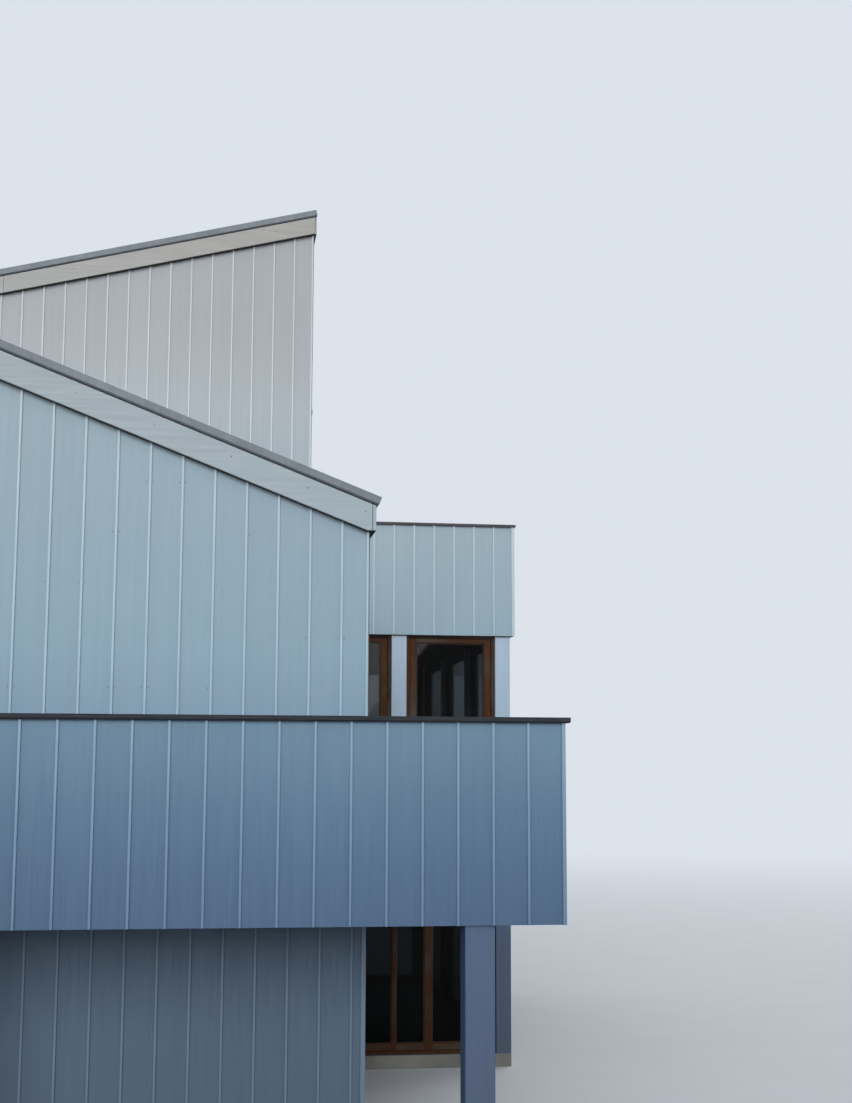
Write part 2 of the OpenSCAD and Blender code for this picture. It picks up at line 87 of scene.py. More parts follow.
def house_box(node: str) -> tuple[Array, Array]:
    """Lowest and highest corner of a CAD node in house coordinates."""
    low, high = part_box(node)
    return np.array(low) - ORIGIN, np.array(high) - ORIGIN


def edge_of(node: str, side: int, axis: int) -> float:
    """A CAD node's lower (0) or upper (1) edge on an axis, in house coordinates."""
    return float(house_box(node)[side][axis])


def solids_of(node: str) -> Array:
    """Boxes round the loose solids of a CAD node.

    Every corner takes the lowest label among the triangles that share it, until none
    changes, so that a label is left for each solid.

    Args:
        node: The node's name.

    Returns:
        Lowest and highest corners in house coordinates, one pair for each solid.
    """
    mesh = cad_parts[node].data
    mesh.calc_loop_triangles()
    points = np.empty(len(mesh.vertices) * 3, np.float32)
    mesh.vertices.foreach_get("co", points)
    corners = np.empty(len(mesh.loop_triangles) * 3, np.int32)
    mesh.loop_triangles.foreach_get("vertices", corners)
    places, merged = np.unique(points.reshape(-1, 3).round(4), axis=0, return_inverse=True)
    triangles = merged.reshape(-1)[corners].reshape(-1, 3)
    label = np.arange(len(places))
    while True:
        lowest = label[triangles].min(axis=1)
        spread = label.copy()
        np.minimum.at(spread, triangles.ravel(), np.repeat(lowest, 3))
        if (spread == label).all():
            break
        label = spread
    return np.array([[places[label == one].min(axis=0), places[label == one].max(axis=0)]
                     for one in np.unique(label[triangles])]) - ORIGIN


# Levels and faces


@dataclass(frozen=True)
class RoofLine:
    """The line that a roof's metal edge follows: its height at x = 0 and its rise with x."""

    level: float
    rise: float

    def at(self, x: float | Array) -> float | Array:
        """Height of the line at x."""
        return self.level + self.rise * x

    def below(self, drop: float) -> "RoofLine":
        """The same line, a drop lower."""
        return RoofLine(self.level - drop, self.rise)


def flat(level: float) -> RoofLine:
    """A level line."""
    return RoofLine(level, 0.0)


@dataclass(frozen=True)
class House:
    """Planes, levels and trim sizes that the dressed pieces share with the solids."""

    land: float = edge_of("front_wall", 0, 0)
    front: float = edge_of("front_wall", 0, 1)
    middle: float = edge_of("middle_wall_sides", 0, 1)
    far: float = edge_of("far_wall", 1, 1)
    box: float = edge_of("box_ocean_band", 1, 0)
    gallery: float = edge_of("ocean_parapet", 1, 0)
    slab_top: float = edge_of("ground_slabs", 1, 2)
    second: float = edge_of("second_floor", 1, 2)
    third: float = edge_of("upper_floor", 1, 2)
    band_low: float = edge_of("box_front_band", 0, 2)
    band_top: float = edge_of("box_front_band", 1, 2)
    box_top: float = edge_of("box_caps", 1, 2)
    skirt: float = edge_of("front_parapet", 0, 2)
    parapet_top: float = edge_of("front_parapet", 1, 2)
    joist_low: float = edge_of("deck_joists", 0, 2)
    front_roof_low: float = edge_of("front_roof", 0, 2)
    upper_roof_top: float = edge_of("upper_roof", 1, 2)
    front_pitch: float = 21.25
    upper_pitch: float = 14.0
    roof_drop: float = 0.258
    edge_rise: float = 0.020
    trim_pack: float = 0.032
    board: float = 0.038
    upper_pack: float = 0.019
    upper_board: float = 0.019
    front_edge: float = 0.085
    front_rake: float = 0.228
    upper_edge: float = 0.092
    upper_rake: float = 0.212

    @property
    def front_line(self) -> RoofLine:
        """Line of the front roof, which falls towards the ocean."""
        rise = -math.tan(math.radians(self.front_pitch))
        return RoofLine(self.front_roof_low + self.roof_drop - rise * self.trim_pack, rise)

    @property
    def upper_line(self) -> RoofLine:
        """Line of the upper roof, which rises towards the ocean."""
        rise = math.tan(math.radians(self.upper_pitch))
        return RoofLine(self.upper_roof_top + self.edge_rise - rise * self.upper_pack, rise)


HOUSE = House()


@dataclass(frozen=True)
class Face:
    """A flat face: a point on it, the directions along and up it, and its outward direction."""

    origin: tuple[float, float, float]
    along: tuple[float, float, float]
    up: tuple[float, float, float]
    out: tuple[float, float, float]

    def place(self, local: Array) -> Array:
        """Points given along, up and out of the face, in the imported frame."""
        return ORIGIN + np.array(self.origin) + local @ np.array([self.along, self.up, self.out])


def facing_front(y: float) -> Face:
    """An upright face that looks to the front, drawn in x and z."""
    return Face((0, y, 0), (1, 0, 0), (0, 0, 1), (0, -1, 0))


def facing_far(y: float) -> Face:
    """An upright face that looks away from the deck, drawn in x and z."""
    return Face((0, y, 0), (1, 0, 0), (0, 0, 1), (0, 1, 0))


def facing_ocean(x: float) -> Face:
    """An upright face that looks to the ocean, drawn in y and z."""
    return Face((x, 0, 0), (0, 1, 0), (0, 0, 1), (1, 0, 0))


def facing_land(x: float) -> Face:
    """An upright face that looks inland, drawn in y and z."""
    return Face((x, 0, 0), (0, 1, 0), (0, 0, 1), (-1, 0, 0))


def facing_up(z: float) -> Face:
    """A level face, drawn in x and y."""
    return Face((0, 0, z), (1, 0, 0), (0, 1, 0), (0, 0, 1))


def sloping_up(line: RoofLine) -> Face:
    """A roof's face, drawn up its slope from x = 0 and along y.

    Args:
        line: The roof's line.

    Returns:
        The face.
    """
    length = math.hypot(1.0, line.rise)
    slope = (1 / length, 0, line.rise / length)
    return Face((0, 0, line.level), slope, (0, 1, 0), (-slope[2], 0, slope[0]))


# Meshes


def rectangle(low_u: float, high_u: float, low_v: float, high_v: float) -> Array:
    """Outline of a rectangle."""
    return np.array([[low_u, low_v], [high_u, low_v], [high_u, high_v], [low_u, high_v]])


def circle(sides: int, radius: float) -> Array:
    """Corners round a circle: the radius times the cosine and the sine of each turn."""
    turn = np.arange(sides) * math.tau / sides
    return radius * np.stack([np.cos(turn), np.sin(turn)], axis=-1)


def inward(outlines: Array, closed: bool = True) -> Array:
    """How far each corner moves when its outline's edges move one unit inwards.

    That is the sum of the corner's two edges' inward directions, over one plus their dot
    product. The ends of an open path have one edge each.

    Args:
        outlines: Corners of shape (outline, corner, 2).
        closed: Whether the last corner joins the first.

    Returns:
        The corners' moves.
    """
    before = outlines - np.roll(outlines, 1, axis=1)
    after = np.roll(before, -1, axis=1)
    if not closed:
        before[:, 0] = after[:, 0]
        after[:, -1] = before[:, -1]
    turned = [np.stack([-edge[..., 1], edge[..., 0]], axis=-1)
              / np.linalg.norm(edge, axis=-1, keepdims=True) for edge in (before, after)]
    following = np.roll(outlines, -1, axis=1)
    area = (outlines[..., 0] * following[..., 1]
            - following[..., 0] * outlines[..., 1]).sum(axis=1)
    side = np.sign(area)[:, None, None]
    return side * (turned[0] + turned[1]) / (1 + (turned[0] * turned[1]).sum(
        axis=-1, keepdims=True))


def add_object(name: str, data: bpy.types.ID) -> bpy.types.Object:
    """Makes an object and links it to the scene.

    Args:
        name: The object's name.
        data: Its mesh, lamp or camera.

    Returns:
        The object.
    """
    made = bpy.data.objects.new(name, data)
    bpy.context.scene.collection.objects.link(made)
    return made


def turned(x: Array, y: Array, z: Array) -> Matrix:
    """The turn that brings an object's own axes to three directions."""
    return Matrix(np.stack([x, y, z], axis=1).tolist()).to_4x4()


class Grain(Enum):
    """Which of a solid's own directions its grain runs along."""

    ALONG = (0, 1, 2)
    UP = (1, 0, 2)
    OUT = (2, 0, 1)


class Shell:
    """Collects closed solids as whole arrays and makes them one piece.

    The shift moves each solid's grain on from the last one's, so that no two match.
    """

    shift = np.array([3.719, 0.531, 0.277])
    head_sides = 6

    def __init__(self, name: str) -> None:
        """Starts an empty piece.

        Args:
            name: The piece's name.
        """
        self.name = name
        self.points: list[Array] = []
        self.grain: list[Array] = []
        self.faces: list[list[int]] = []
        self.total = 0
        self.solids = 0

    def _sweep(self, face: Face, local: Array, grain: Grain, closed: bool = False) -> "Shell":
        """Adds solids made of rings of points, each ring joined to the next by faces.

        Args:
            face: The face that the solids stand on.
            local: Points of shape (solid, ring, corner, 3), along, up and out of the face.
            grain: Direction of the grain.
            closed: Whether the last ring joins the first. Otherwise both ends are closed off.

        Returns:
            The shell.
        """
        count, rings, corners = local.shape[:3]
        base = self.total + (np.arange(count) * rings * corners)[:, None]
        edge = np.arange(corners)
        step = (edge + 1) % corners
        for ring in range(rings if closed else rings - 1):
            here, there = ring * corners, (ring + 1) % rings * corners
            quad = np.stack([here + edge, here + step, there + step, there + edge], axis=-1)
            self.faces += (base[:, :, None] + quad[None]).reshape(-1, 4).tolist()
        if not closed:
            self.faces += (base + edge[::-1]).tolist()
            self.faces += (base + (rings - 1) * corners + edge).tolist()
        points = local.reshape(count, -1, 3)
        index = self.solids + np.arange(count)[:, None, None]
        self.points.append(face.place(points.reshape(-1, 3)))
        self.grain.append((points[..., list(grain.value)] + index * self.shift).reshape(-1, 3))
        self.total += count * rings * corners
        self.solids += count
        return self

    def extrude(self, face: Face, outlines: Array, low: float, high: float,
                ease: float = 0.0, grain: Grain = Grain.UP) -> "Shell":
        """Adds a solid for each outline, carried straight out of the face.

        A point of a solid is its outline's point plus a height out of the face. With an
        ease, the last ring is the outline drawn in, which chamfers the outer edges.

        Args:
            face: The face that the outlines are drawn on.
            outlines: Corners of shape (corner, 2) or (solid, corner, 2).
            low: Height of the solids' backs.
            high: Height of their fronts.
            ease: Width of the chamfer.
            grain: Direction of the grain.

        Returns:
            The shell.
        """
        outlines = np.asarray(outlines, float)
        if not len(outlines):
            return self
        if outlines.ndim == 2:
            outlines = outlines[None]
        levels = [(low, outlines), (high, outlines)]
        if ease:
            sign = 1 if high > low else -1
            levels[1:] = [(high - sign * ease, outlines),
                          (high, outlines + ease * inward(outlines))]
        count, corners = outlines.shape[:2]
        local = np.empty((count, len(levels), corners, 3))
        for ring, (height, outline) in enumerate(levels):
            local[:, ring, :, :2] = outline
            local[:, ring, :, 2] = height
        return self._sweep(face, local, grain)

    def carry(self, face: Face, path: Array, profile: Array, closed: bool = True) -> "Shell":
        """Adds a profile carried along a path and mitred at its corners.

        A point is the path's corner, moved inwards by the profile's first value along the
        mitre and out of the face by its second.

        Args:
            face: The face that the path is drawn on.
            path: Corners of shape (corner, 2).
            profile: Closed outline, inwards and outwards.
            closed: Whether the last corner joins the first.

        Returns:
            The shell.
        """
        path, profile = np.asarray(path, float)[None], np.asarray(profile, float)
        local = np.empty((1, path.shape[1], len(profile), 3))
        local[..., :2] = path[:, :, None] + inward(path, closed)[:, :, None] * profile[:, :1]
        local[..., 2] = profile[:, 1]
        return self._sweep(face, local, Grain.ALONG, closed)

    def heads(self, face: Face, spots: Array, radius: float, low: float, high: float) -> "Shell":
        """Adds a six sided fastener head at each spot.

        Args:
            face: The face that they stand on.
            spots: Their centres.
            radius: Their radius.
            low: Height of their feet.
            high: Height of their tops.

        Returns:
            The shell.
        """
        spots = np.asarray(spots, float).reshape(-1, 1, 2)
        return self.extrude(face, spots + circle(self.head_sides, radius), low, high)

    def make(self, finish: Material, slot: Slot, replaces: tuple[str, ...] = ()) -> None:
        """Args:
            finish: Its material.
            slot: The record's material slot; not used.
            replaces: CAD nodes that it stands for.
        """
        mesh = bpy.data.meshes.new(self.name)
        mesh.from_pydata(np.concatenate(self.points).tolist(), [], self.faces)
        values = mesh.attributes.new(GRAIN_ATTRIBUTE, "FLOAT_VECTOR", "POINT")
        values.data.foreach_set("vector", np.concatenate(self.grain).astype(np.float32).ravel())
        work = bmesh.new()
        work.from_mesh(mesh)
        bmesh.ops.recalc_face_normals(work, faces=work.faces[:])
        work.to_mesh(mesh)
        work.free()
        mesh.materials.append(finish)
        piece = add_object(self.name, mesh)
        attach(piece, BODY)
        if replaces:
            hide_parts(*replaces)
        mesh.calc_loop_triangles()
        LOG.info("%s: %d solids, %d triangles", self.name, self.solids, len(mesh.loop_triangles))


# Finishes


class Run(Enum):
    """How far a pattern is drawn out on each axis: its scale along x, y and z."""

    ALL_WAYS = (1.0, 1.0, 1.0)
    UPRIGHT = (1.0, 1.0, 0.02)
    RUNS_DOWN = (1.0, 1.0, 0.08)
    ALONG_BOARD = (0.04, 1.0, 1.0)


def linear(colour: str) -> tuple[float, float, float, float]:
    """An sRGB hex colour as linear values with full alpha."""
    parts = [int(colour[i:i + 2], 16) / 255 for i in (1, 3, 5)]
    return (*[c / 12.92 if c <= 0.04045 else ((c + 0.055) / 1.055) ** 2.4 for c in parts], 1.0)


class Graph:
    """A node tree of a material or the world, emptied and filled again."""

    def __init__(self, tree: bpy.types.NodeTree) -> None:
        """Empties the tree."""
        self.tree = tree
        tree.nodes.clear()

    def add(self, kind: str, inputs: dict | tuple = (), out: int | str = 0,
            **settings: object) -> Socket | None:
        """Adds a node with its settings and links.

        Args:
            kind: The node's type, without "ShaderNode".
            inputs: Values or sockets for its inputs, in order, or by name or number.
            out: The output that is handed on, by name or number.
            settings: The node's own settings.

        Returns:
            That output, or None where the node has none.
        """
        node = self.tree.nodes.new("ShaderNode" + kind)
        for key, value in settings.items():
            setattr(node, key, value)
        for key, value in inputs.items() if isinstance(inputs, dict) else enumerate(inputs):
            if isinstance(value, bpy.types.NodeSocket):
                self.tree.links.new(value, node.inputs[key])
            else:
                node.inputs[key].default_value = value
        return node.outputs[out] if node.outputs else None


@dataclass(frozen=True)
class Pattern:
    """Noise whose features are a real size in millimetres, drawn out along its run."""

    size: float
    run: Run = Run.ALL_WAYS
    detail: float = 3.0

    def over(self, graph: Graph, place: Socket, low: float = 0.0, high: float = 1.0) -> Socket:
        """The noise over a place, from low to high.

        Args:
            graph: The tree that takes the nodes.
            place: Coordinates in metres.
            low: Value where the noise is low.
            high: Value where it is high.

        Returns:
            The value.
        """
        moved = graph.add("Mapping", {"Vector": place, "Scale": self.run.value})
        noise = graph.add("TexNoise", {"Vector": moved, "Scale": MM_PER_M / self.size,
                                       "Detail": self.detail})
        return graph.add("MapRange", (noise, *NOISE_REACH, low, high))


Shades = tuple[tuple[Pattern, float], ...]


@dataclass(frozen=True)
class Relief:
    """The depth of a finish's relief in metres, and how much of it shows."""

    depth: float
    strength: float = 0.4

    def shader(self, graph: Graph, colour: object, rough: object, height: Socket) -> Inputs:
        """The shader's inputs for a surface with this relief.

        Args:
            graph: The tree that takes the nodes.
            colour: The surface's colour, a value or a socket.
            rough: Its roughness, a value or a socket.
            height: Height of the relief, from nought to one.

        Returns:
            The inputs by name.
        """
        normal = graph.add("Bump", {"Height": height, "Distance": self.depth,
                                    "Strength": self.strength})
        return {"Base Color": colour, "Roughness": rough, "Normal": normal}


def shaded(graph: Graph, colour: Socket, place: Socket, shades: Shades,
           first: float | Socket = 1.0) -> Socket:
    """A colour times a level, which starts at one and to which patterns add a little.

    Args:
        graph: The tree that takes the nodes.
        colour: The colour.
        place: Coordinates in metres.
        shades: Patterns, each with what it adds where its noise is high and takes where low.
        first: The level before the patterns.

    Returns:
        The colour, darker or lighter.
    """
    level = first
    for pattern, shade in shades:
        level = graph.add("Math", (level, pattern.over(graph, place, -shade, shade)),
                          operation="ADD")
    grey = graph.add("CombineColor", (level, level, level))
    return graph.add("Mix", {0: 1.0, 6: colour, 7: grey}, **COLOURS, blend_type="MULTIPLY")


@dataclass(frozen=True)
class PaintTone:
    """A paint's colour at some heights in metres, with painted shade: the stops turn darker and
    bluer towards the ground.
    """

    stops: tuple[tuple[float, str], ...]

    def over(self, graph: Graph, height: Socket) -> Socket:
        """The colour at a height: each stop's colour, faded in up to its own height.

        Args:
            graph: The tree that takes the nodes.
            height: Height in metres.

        Returns:
            The colour.
        """
        colour = linear(self.stops[0][1])
        for (low, _), (high, tone) in zip(self.stops[:-1], self.stops[1:]):
            share = graph.add("MapRange", (height, low, high))
            colour = graph.add("Mix", {0: share, 6: colour, 7: linear(tone)}, **COLOURS)
        return colour


# Painted light and shade: each tone darkens and cools towards the ground, for the light falling off
# there and the shade under the deck. The battens' tones are lighter than the panels' as a painted
# highlight, and the trim is warmer up high.
PANEL_PAINT_AND_SHADE = PaintTone(((0.0, "#44576A"), (2.3, "#4E657B"), (3.6, "#7893AA"), (4.4, "#8BA7B8"),
                        (6.2, "#9AAFBB"), (7.9, "#ACB5BB"), (9.1, "#A8ADB2")))
BATTEN_PAINT_AND_LIGHT = PaintTone(((0.0, "#586D82"), (2.3, "#647B93"), (3.6, "#93ACC2"),
                         (4.4, "#A6C0D0"), (6.2, "#BCCCD4"), (7.9, "#D0D6D9"), (9.1, "#CBCCCD")))
DECK_PAINT_AND_SHADE = PaintTone(((2.4, "#446080"), (2.8, "#4C6989"), (3.2, "#567593"), (3.8, "#6A8AA2")))
DECK_BATTEN_PAINT_AND_LIGHT = PaintTone(((2.4, "#617C9B"), (2.8, "#6A87A6"), (3.2, "#7592AE"),
                              (3.8, "#8AA6BD")))
TRIM_PAINT_AND_LIGHT = PaintTone(((5.0, "#9DAEB8"), (7.0, "#9FABB1"), (9.9, "#A19F9D")))
POST_PAINT_AND_SHADE = PaintTone(((0.0, "#3A4B60"), (2.4, "#455978"), (3.6, "#9FB5CA"), (5.1, "#A6BCD0")))


@dataclass(frozen=True)
class Finish:
    """A finish: its name, and the shader inputs that each kind of finish works out."""

    name: str

    def make(self) -> Material:
        """Makes the material.

        Returns:
            The material.
        """
        material = bpy.data.materials.new(self.name)
        material.use_nodes = True
        graph = Graph(material.node_tree)
        graph.add("OutputMaterial", (graph.add("BsdfPrincipled", self.inputs(graph)),))
        return material

    def inputs(self, graph: Graph) -> Inputs:
        """Values and sockets for the shader's inputs."""
        raise NotImplementedError


@dataclass(frozen=True)
class PaintedPanels(Finish):
    """Opaque acrylic paint on rough sawn cedar boards, brushed up and down.

    The saw marks and the grain show through the paint as fine upright streaks, and each board
    between two battens took the paint a little differently. The tone is painted darker and bluer
    towards the ground, as painted shade. The room side of a wall is lined with dim oiled timber.
    """

    across: tuple[float, float, float] = (1.0, 0.0, 0.0)
    first: float = 0.0
    pitch: float = 0.254
    inside: tuple[Array, Array] | None = None
    tone: PaintTone = PANEL_PAINT_AND_SHADE
    lining: str = "#4A4038"
    board_shade: float = 0.026
    saw_marks: Pattern = Pattern(9, Run.UPRIGHT, 4.0)
    saw_shade: float = 0.034
    grain_brush_and_blooms: Shades = ((Pattern(38, Run.UPRIGHT), 0.022),
                                      (Pattern(140, Run.RUNS_DOWN), 0.012),
                                      (Pattern(1400, detail=2.0), 0.02))
    rough: tuple[float, float] = (0.52, 0.72)
    relief: Relief = Relief(0.0008)

    def inputs(self, graph: Graph) -> Inputs:
        """Lays streaks, 9 mm and more apart, over each board's own tone.

        That tone is white noise over the board's number, counted along the wall in the
        battens' pitch.

        Args:
            graph: The tree that takes the nodes.

        Returns:
            The shader's inputs.
        """
        place = graph.add("TexCoord", out="Object")
        along = graph.add("VectorMath", (place, self.across), "Value", operation="DOT_PRODUCT")
        start = float(np.dot(self.across, ORIGIN)) + self.first
        number = graph.add("Math", (along, start), operation="SUBTRACT")
        number = graph.add("Math", (number, self.pitch), operation="DIVIDE")
        number = graph.add("Math", (number,), operation="FLOOR")
        board = graph.add("TexWhiteNoise", {"W": number}, noise_dimensions="1D")
        level = graph.add("MapRange", (board, 0.0, 1.0, 1 - self.board_shade,
                                       1 + self.board_shade))
        tone = self.tone.over(graph, graph.add("SeparateXYZ", (place,), "Z"))
        shades = ((self.saw_marks, self.saw_shade), *self.grain_brush_and_blooms)
        colour = shaded(graph, tone, place, shades, level)
        if self.inside is not None:
            colour = graph.add("Mix", {0: self.lined(graph, place), 6: colour,
                                       7: linear(self.lining)}, **COLOURS)
        return self.relief.shader(graph, colour, self.saw_marks.over(graph, place, *self.rough),
                                  self.saw_marks.over(graph, place))

    def lined(self, graph: Graph, place: Socket) -> Socket:
        """One inside the room that the wall encloses, and nought outside it.

        Args:
            graph: The tree that takes the nodes.
            place: Coordinates in metres.

        Returns:
            The value.
        """
        axes = graph.add("SeparateXYZ", (place,)).node.outputs
        share = 1.0
        for corner, operation in zip(self.inside, ("GREATER_THAN", "LESS_THAN")):
            for axis, bound in enumerate(corner + ORIGIN):
                within = graph.add("Math", (axes[axis], float(bound)), operation=operation)
                share = graph.add("Math", (share, within), operation="MULTIPLY")
        return share


@dataclass(frozen=True)
class PaintedBoards(Finish):
    """The same paint on planed timber: battens, corner boards, rake boards and posts.

    Planed faces look smoother than the panels, with a faint grain along each strip and slow wear.
    Where they look lighter than the panels, their tone holds a painted highlight.
    """

    tone: PaintTone
    grain_size: float = 14.0
    grain_shade: float = -0.03
    wear: Pattern = Pattern(600, Run.ALONG_BOARD)
    wear_shade: float = -0.025
    rough: tuple[float, float] = (0.45, 0.62)
    relief: Relief = Relief(0.0006)

    def inputs(self, graph: Graph) -> Inputs:
        """Lays grain along each strip and slow wear over the tone.

        Args:
            graph: The tree that takes the nodes.

        Returns:
            The shader's inputs.
        """
        place = graph.add("Attribute", out="Vector", attribute_name=GRAIN_ATTRIBUTE)
        height = graph.add("SeparateXYZ", (graph.add("TexCoord", out="Object"),), "Z")
        grain = Pattern(self.grain_size, Run.ALONG_BOARD, 4.0)
        shades = ((grain, self.grain_shade), (self.wear, self.wear_shade))
        colour = shaded(graph, self.tone.over(graph, height), place, shades)
        return self.relief.shader(graph, colour, grain.over(graph, place, *self.rough),
                                  grain.over(graph, place))


@dataclass(frozen=True)
class Timber(Finish):
    """Sawn or oiled wood: two tones of long grain, with pores that stand a little rough."""

    light: str
    dark: str
    pore_size: float = 5.0
    rough: tuple[float, float] = (0.45, 0.62)
    relief: Relief = Relief(0.0008, 0.6)
    on_node: bool = False
    silver: str | None = None
    shine: float = 0.3
    growth: Pattern = Pattern(40, Run.ALONG_BOARD)
    rings: float = 24.0
    ring_share: float = 0.35
    slow: Pattern = Pattern(900, detail=2.0)
    slow_reach: tuple[float, float] = (0.75, 1.15)

    def inputs(self, graph: Graph) -> Inputs:
        """Shares the two tones out by growth rings, pores and slow changes.

        Growth rings are slow noise along the board, folded by a sine. A CAD node reads
        object coordinates, and a new piece reads its own boards' places.

        Args:
            graph: The tree that takes the nodes.

        Returns:
            The shader's inputs.
        """
        if self.on_node:
            place = graph.add("TexCoord", out="Object")
        else:
            place = graph.add("Attribute", out="Vector", attribute_name=GRAIN_ATTRIBUTE)
        pores = Pattern(self.pore_size, Run.ALONG_BOARD, 5.0)
        turns = graph.add("Math", (self.growth.over(graph, place), self.rings),
                          operation="MULTIPLY")
        folded = graph.add("Math", (turns,), operation="SINE")
        rings = graph.add("MapRange", (folded, -1.0, 1.0, 0.0, self.ring_share))
        share = graph.add("Math", (rings, pores.over(graph, place, 0.0, 1 - self.ring_share)),
                          operation="ADD")
        share = graph.add("Math", (share, self.slow.over(graph, place, *self.slow_reach)),
                          operation="MULTIPLY")
        colour = graph.add("Mix", {0: share, 6: linear(self.light), 7: linear(self.dark)},
                           **COLOURS)
        if self.silver:
            colour = graph.add("Mix", {0: self.slow.over(graph, place, -1.0, 1.0), 6: colour,
                                       7: linear(self.silver)}, **COLOURS)
        inputs = self.relief.shader(graph, colour, pores.over(graph, place, *self.rough),
                                    pores.over(graph, place))
        return inputs | {"Specular IOR Level": self.shine}


@dataclass(frozen=True)
class Mottled(Finish):
    """Two tones shared out by clouds, over a fine grain that roughens the surface."""

    light: str
    dark: str
    clouds: Pattern
    fine: Pattern
    share: tuple[float, float]
    rough: tuple[float, float]
    relief: Relief

    def inputs(self, graph: Graph) -> Inputs:
        """Shares the two tones out by the clouds, and takes the rest from the fine grain.

        Args:
            graph: The tree that takes the nodes.

        Returns:
            The shader's inputs.
        """
        place = graph.add("TexCoord", out="Object")
        colour = graph.add("Mix", {0: self.clouds.over(graph, place, *self.share),
                                   6: linear(self.light), 7: linear(self.dark)}, **COLOURS)
        return self.relief.shader(graph, colour, self.fine.over(graph, place, *self.rough),
                                  self.fine.over(graph, place))


@dataclass(frozen=True)
class SheetMetal(Finish):
    """Folded sheet, prepainted matt and weathered by salt.

    It looks grey and dry, with soft cloudy blooms and faint runs down its faces.
    """

    colour: str
    bloom: str
    metallic: float = 0.25
    rough: tuple[float, float] = (0.48, 0.66)
    blooms: Pattern = Pattern(180, detail=4.0)
    bloom_share: float = 0.55
    runs: Pattern = Pattern(40, Run.RUNS_DOWN)
    run_share: float = 0.45
    grit: Pattern = Pattern(6)
    relief: Relief = Relief(0.0004, 0.3)

    def inputs(self, graph: Graph) -> Inputs:
        """Lays blooms and runs down the face over the sheet, and grit into its relief.

        Args:
            graph: The tree that takes the nodes.

        Returns:
            The shader's inputs.
        """
        place = graph.add("TexCoord", out="Object")
        share = graph.add("Math", (self.blooms.over(graph, place, 0.0, self.bloom_share),
                                   self.runs.over(graph, place, 0.0, self.run_share)),
                          operation="ADD")
        colour = graph.add("Mix", {0: share, 6: linear(self.colour), 7: linear(self.bloom)},
                           **COLOURS)
        inputs = self.relief.shader(graph, colour, self.blooms.over(graph, place, *self.rough),
                                    self.grit.over(graph, place))
        return inputs | {"Metallic": self.metallic}


@dataclass(frozen=True)
class TintedGlass(Finish):
    """Sealed float glass, tinted and coated against reflections: dark, with a dim view through.

    Its IOR is below that of plain glass, because the coating takes most of the mirror away.
    """

    tint: str
    ior: float = 1.16
    rough: float = 0.01
    waves: Pattern = Pattern(650, detail=1.0)
    relief: Relief = Relief(0.0006, 0.12)

    def inputs(self, graph: Graph) -> Inputs:
        """Clear and tinted, with a faint waviness.

        Args:
            graph: The tree that takes the nodes.

        Returns:
            The shader's inputs.
        """
        place = graph.add("TexCoord", out="Object")
        inputs = self.relief.shader(graph, linear(self.tint), self.rough,
                                    self.waves.over(graph, place))
        return inputs | {"Transmission Weight": 1.0, "IOR": self.ior}


@dataclass(frozen=True)
class Membrane(Finish):
    """Grey roofing sheet with a mineral face: dull and speckled, darker where water lies.

    The mineral grains are drawn 7 mm wide, coarser than real ones, so that they show.
    """

    light: str = "#8B8E90"
    dark: str = "#5E6265"
    grain_size: float = 7.0
    grain_share: float = 0.35
    damp: Pattern = Pattern(800, detail=4.0)
    damp_share: float = 0.5
    scuffs: Pattern = Pattern(90, detail=4.0)
    scuff_reach: tuple[float, float] = (-0.1, 0.15)
    rough: float = 0.88
    relief: Relief = Relief(0.0012, 0.5)

    def inputs(self, graph: Graph) -> Inputs:
        """Lays mineral grains under clouds of damp and scuffs.

        Args:
            graph: The tree that takes the nodes.

        Returns:
            The shader's inputs.
        """
        place = graph.add("TexCoord", out="Object")
        cell = graph.add("TexVoronoi", {"Vector": place, "Scale": MM_PER_M / self.grain_size},
                         "Color")
        grey = graph.add("SeparateColor", (cell,))
        share = graph.add("MapRange", (grey, 0.0, 1.0, 0.0, self.grain_share))
        for added in (self.damp.over(graph, place, 0.0, self.damp_share),
                      self.scuffs.over(graph, place, *self.scuff_reach)):
            share = graph.add("Math", (share, added), operation="ADD")
        colour = graph.add("Mix", {0: share, 6: linear(self.light), 7: linear(self.dark)},
                           **COLOURS)
        return self.relief.shader(graph, colour, self.rough, grey)


@dataclass(frozen=True)
class NailHeads(Finish):
    """Ring shank nails under the paint: most are painted over, and some have rusted dark."""

    painted: PaintTone
    rusted: str = "#4A4744"
    bare_share: float = 0.86
    cell: float = 0.12
    powder: Pattern = Pattern(3, detail=2.0)
    rough: tuple[float, float] = (0.5, 0.7)

    def inputs(self, graph: Graph) -> Inputs:
        """Draws one value for each nail, and makes it dark above the bare share.

        The value is white noise over the nail's place, snapped to a grid.

        Args:
            graph: The tree that takes the nodes.

        Returns:
            The shader's inputs.
        """
        place = graph.add("TexCoord", out="Object")
        snapped = graph.add("VectorMath", (place, (self.cell,) * 3), operation="SNAP")
        drawn = graph.add("TexWhiteNoise", {"Vector": snapped}, noise_dimensions="3D")
        bare = graph.add("Math", (drawn, self.bare_share), operation="GREATER_THAN")
        height = graph.add("SeparateXYZ", (place,), "Z")
        colour = graph.add("Mix", {0: bare, 6: self.painted.over(graph, height),
                                   7: linear(self.rusted)}, **COLOURS)
        return {"Base Color": colour, "Roughness": self.powder.over(graph, place, *self.rough)}


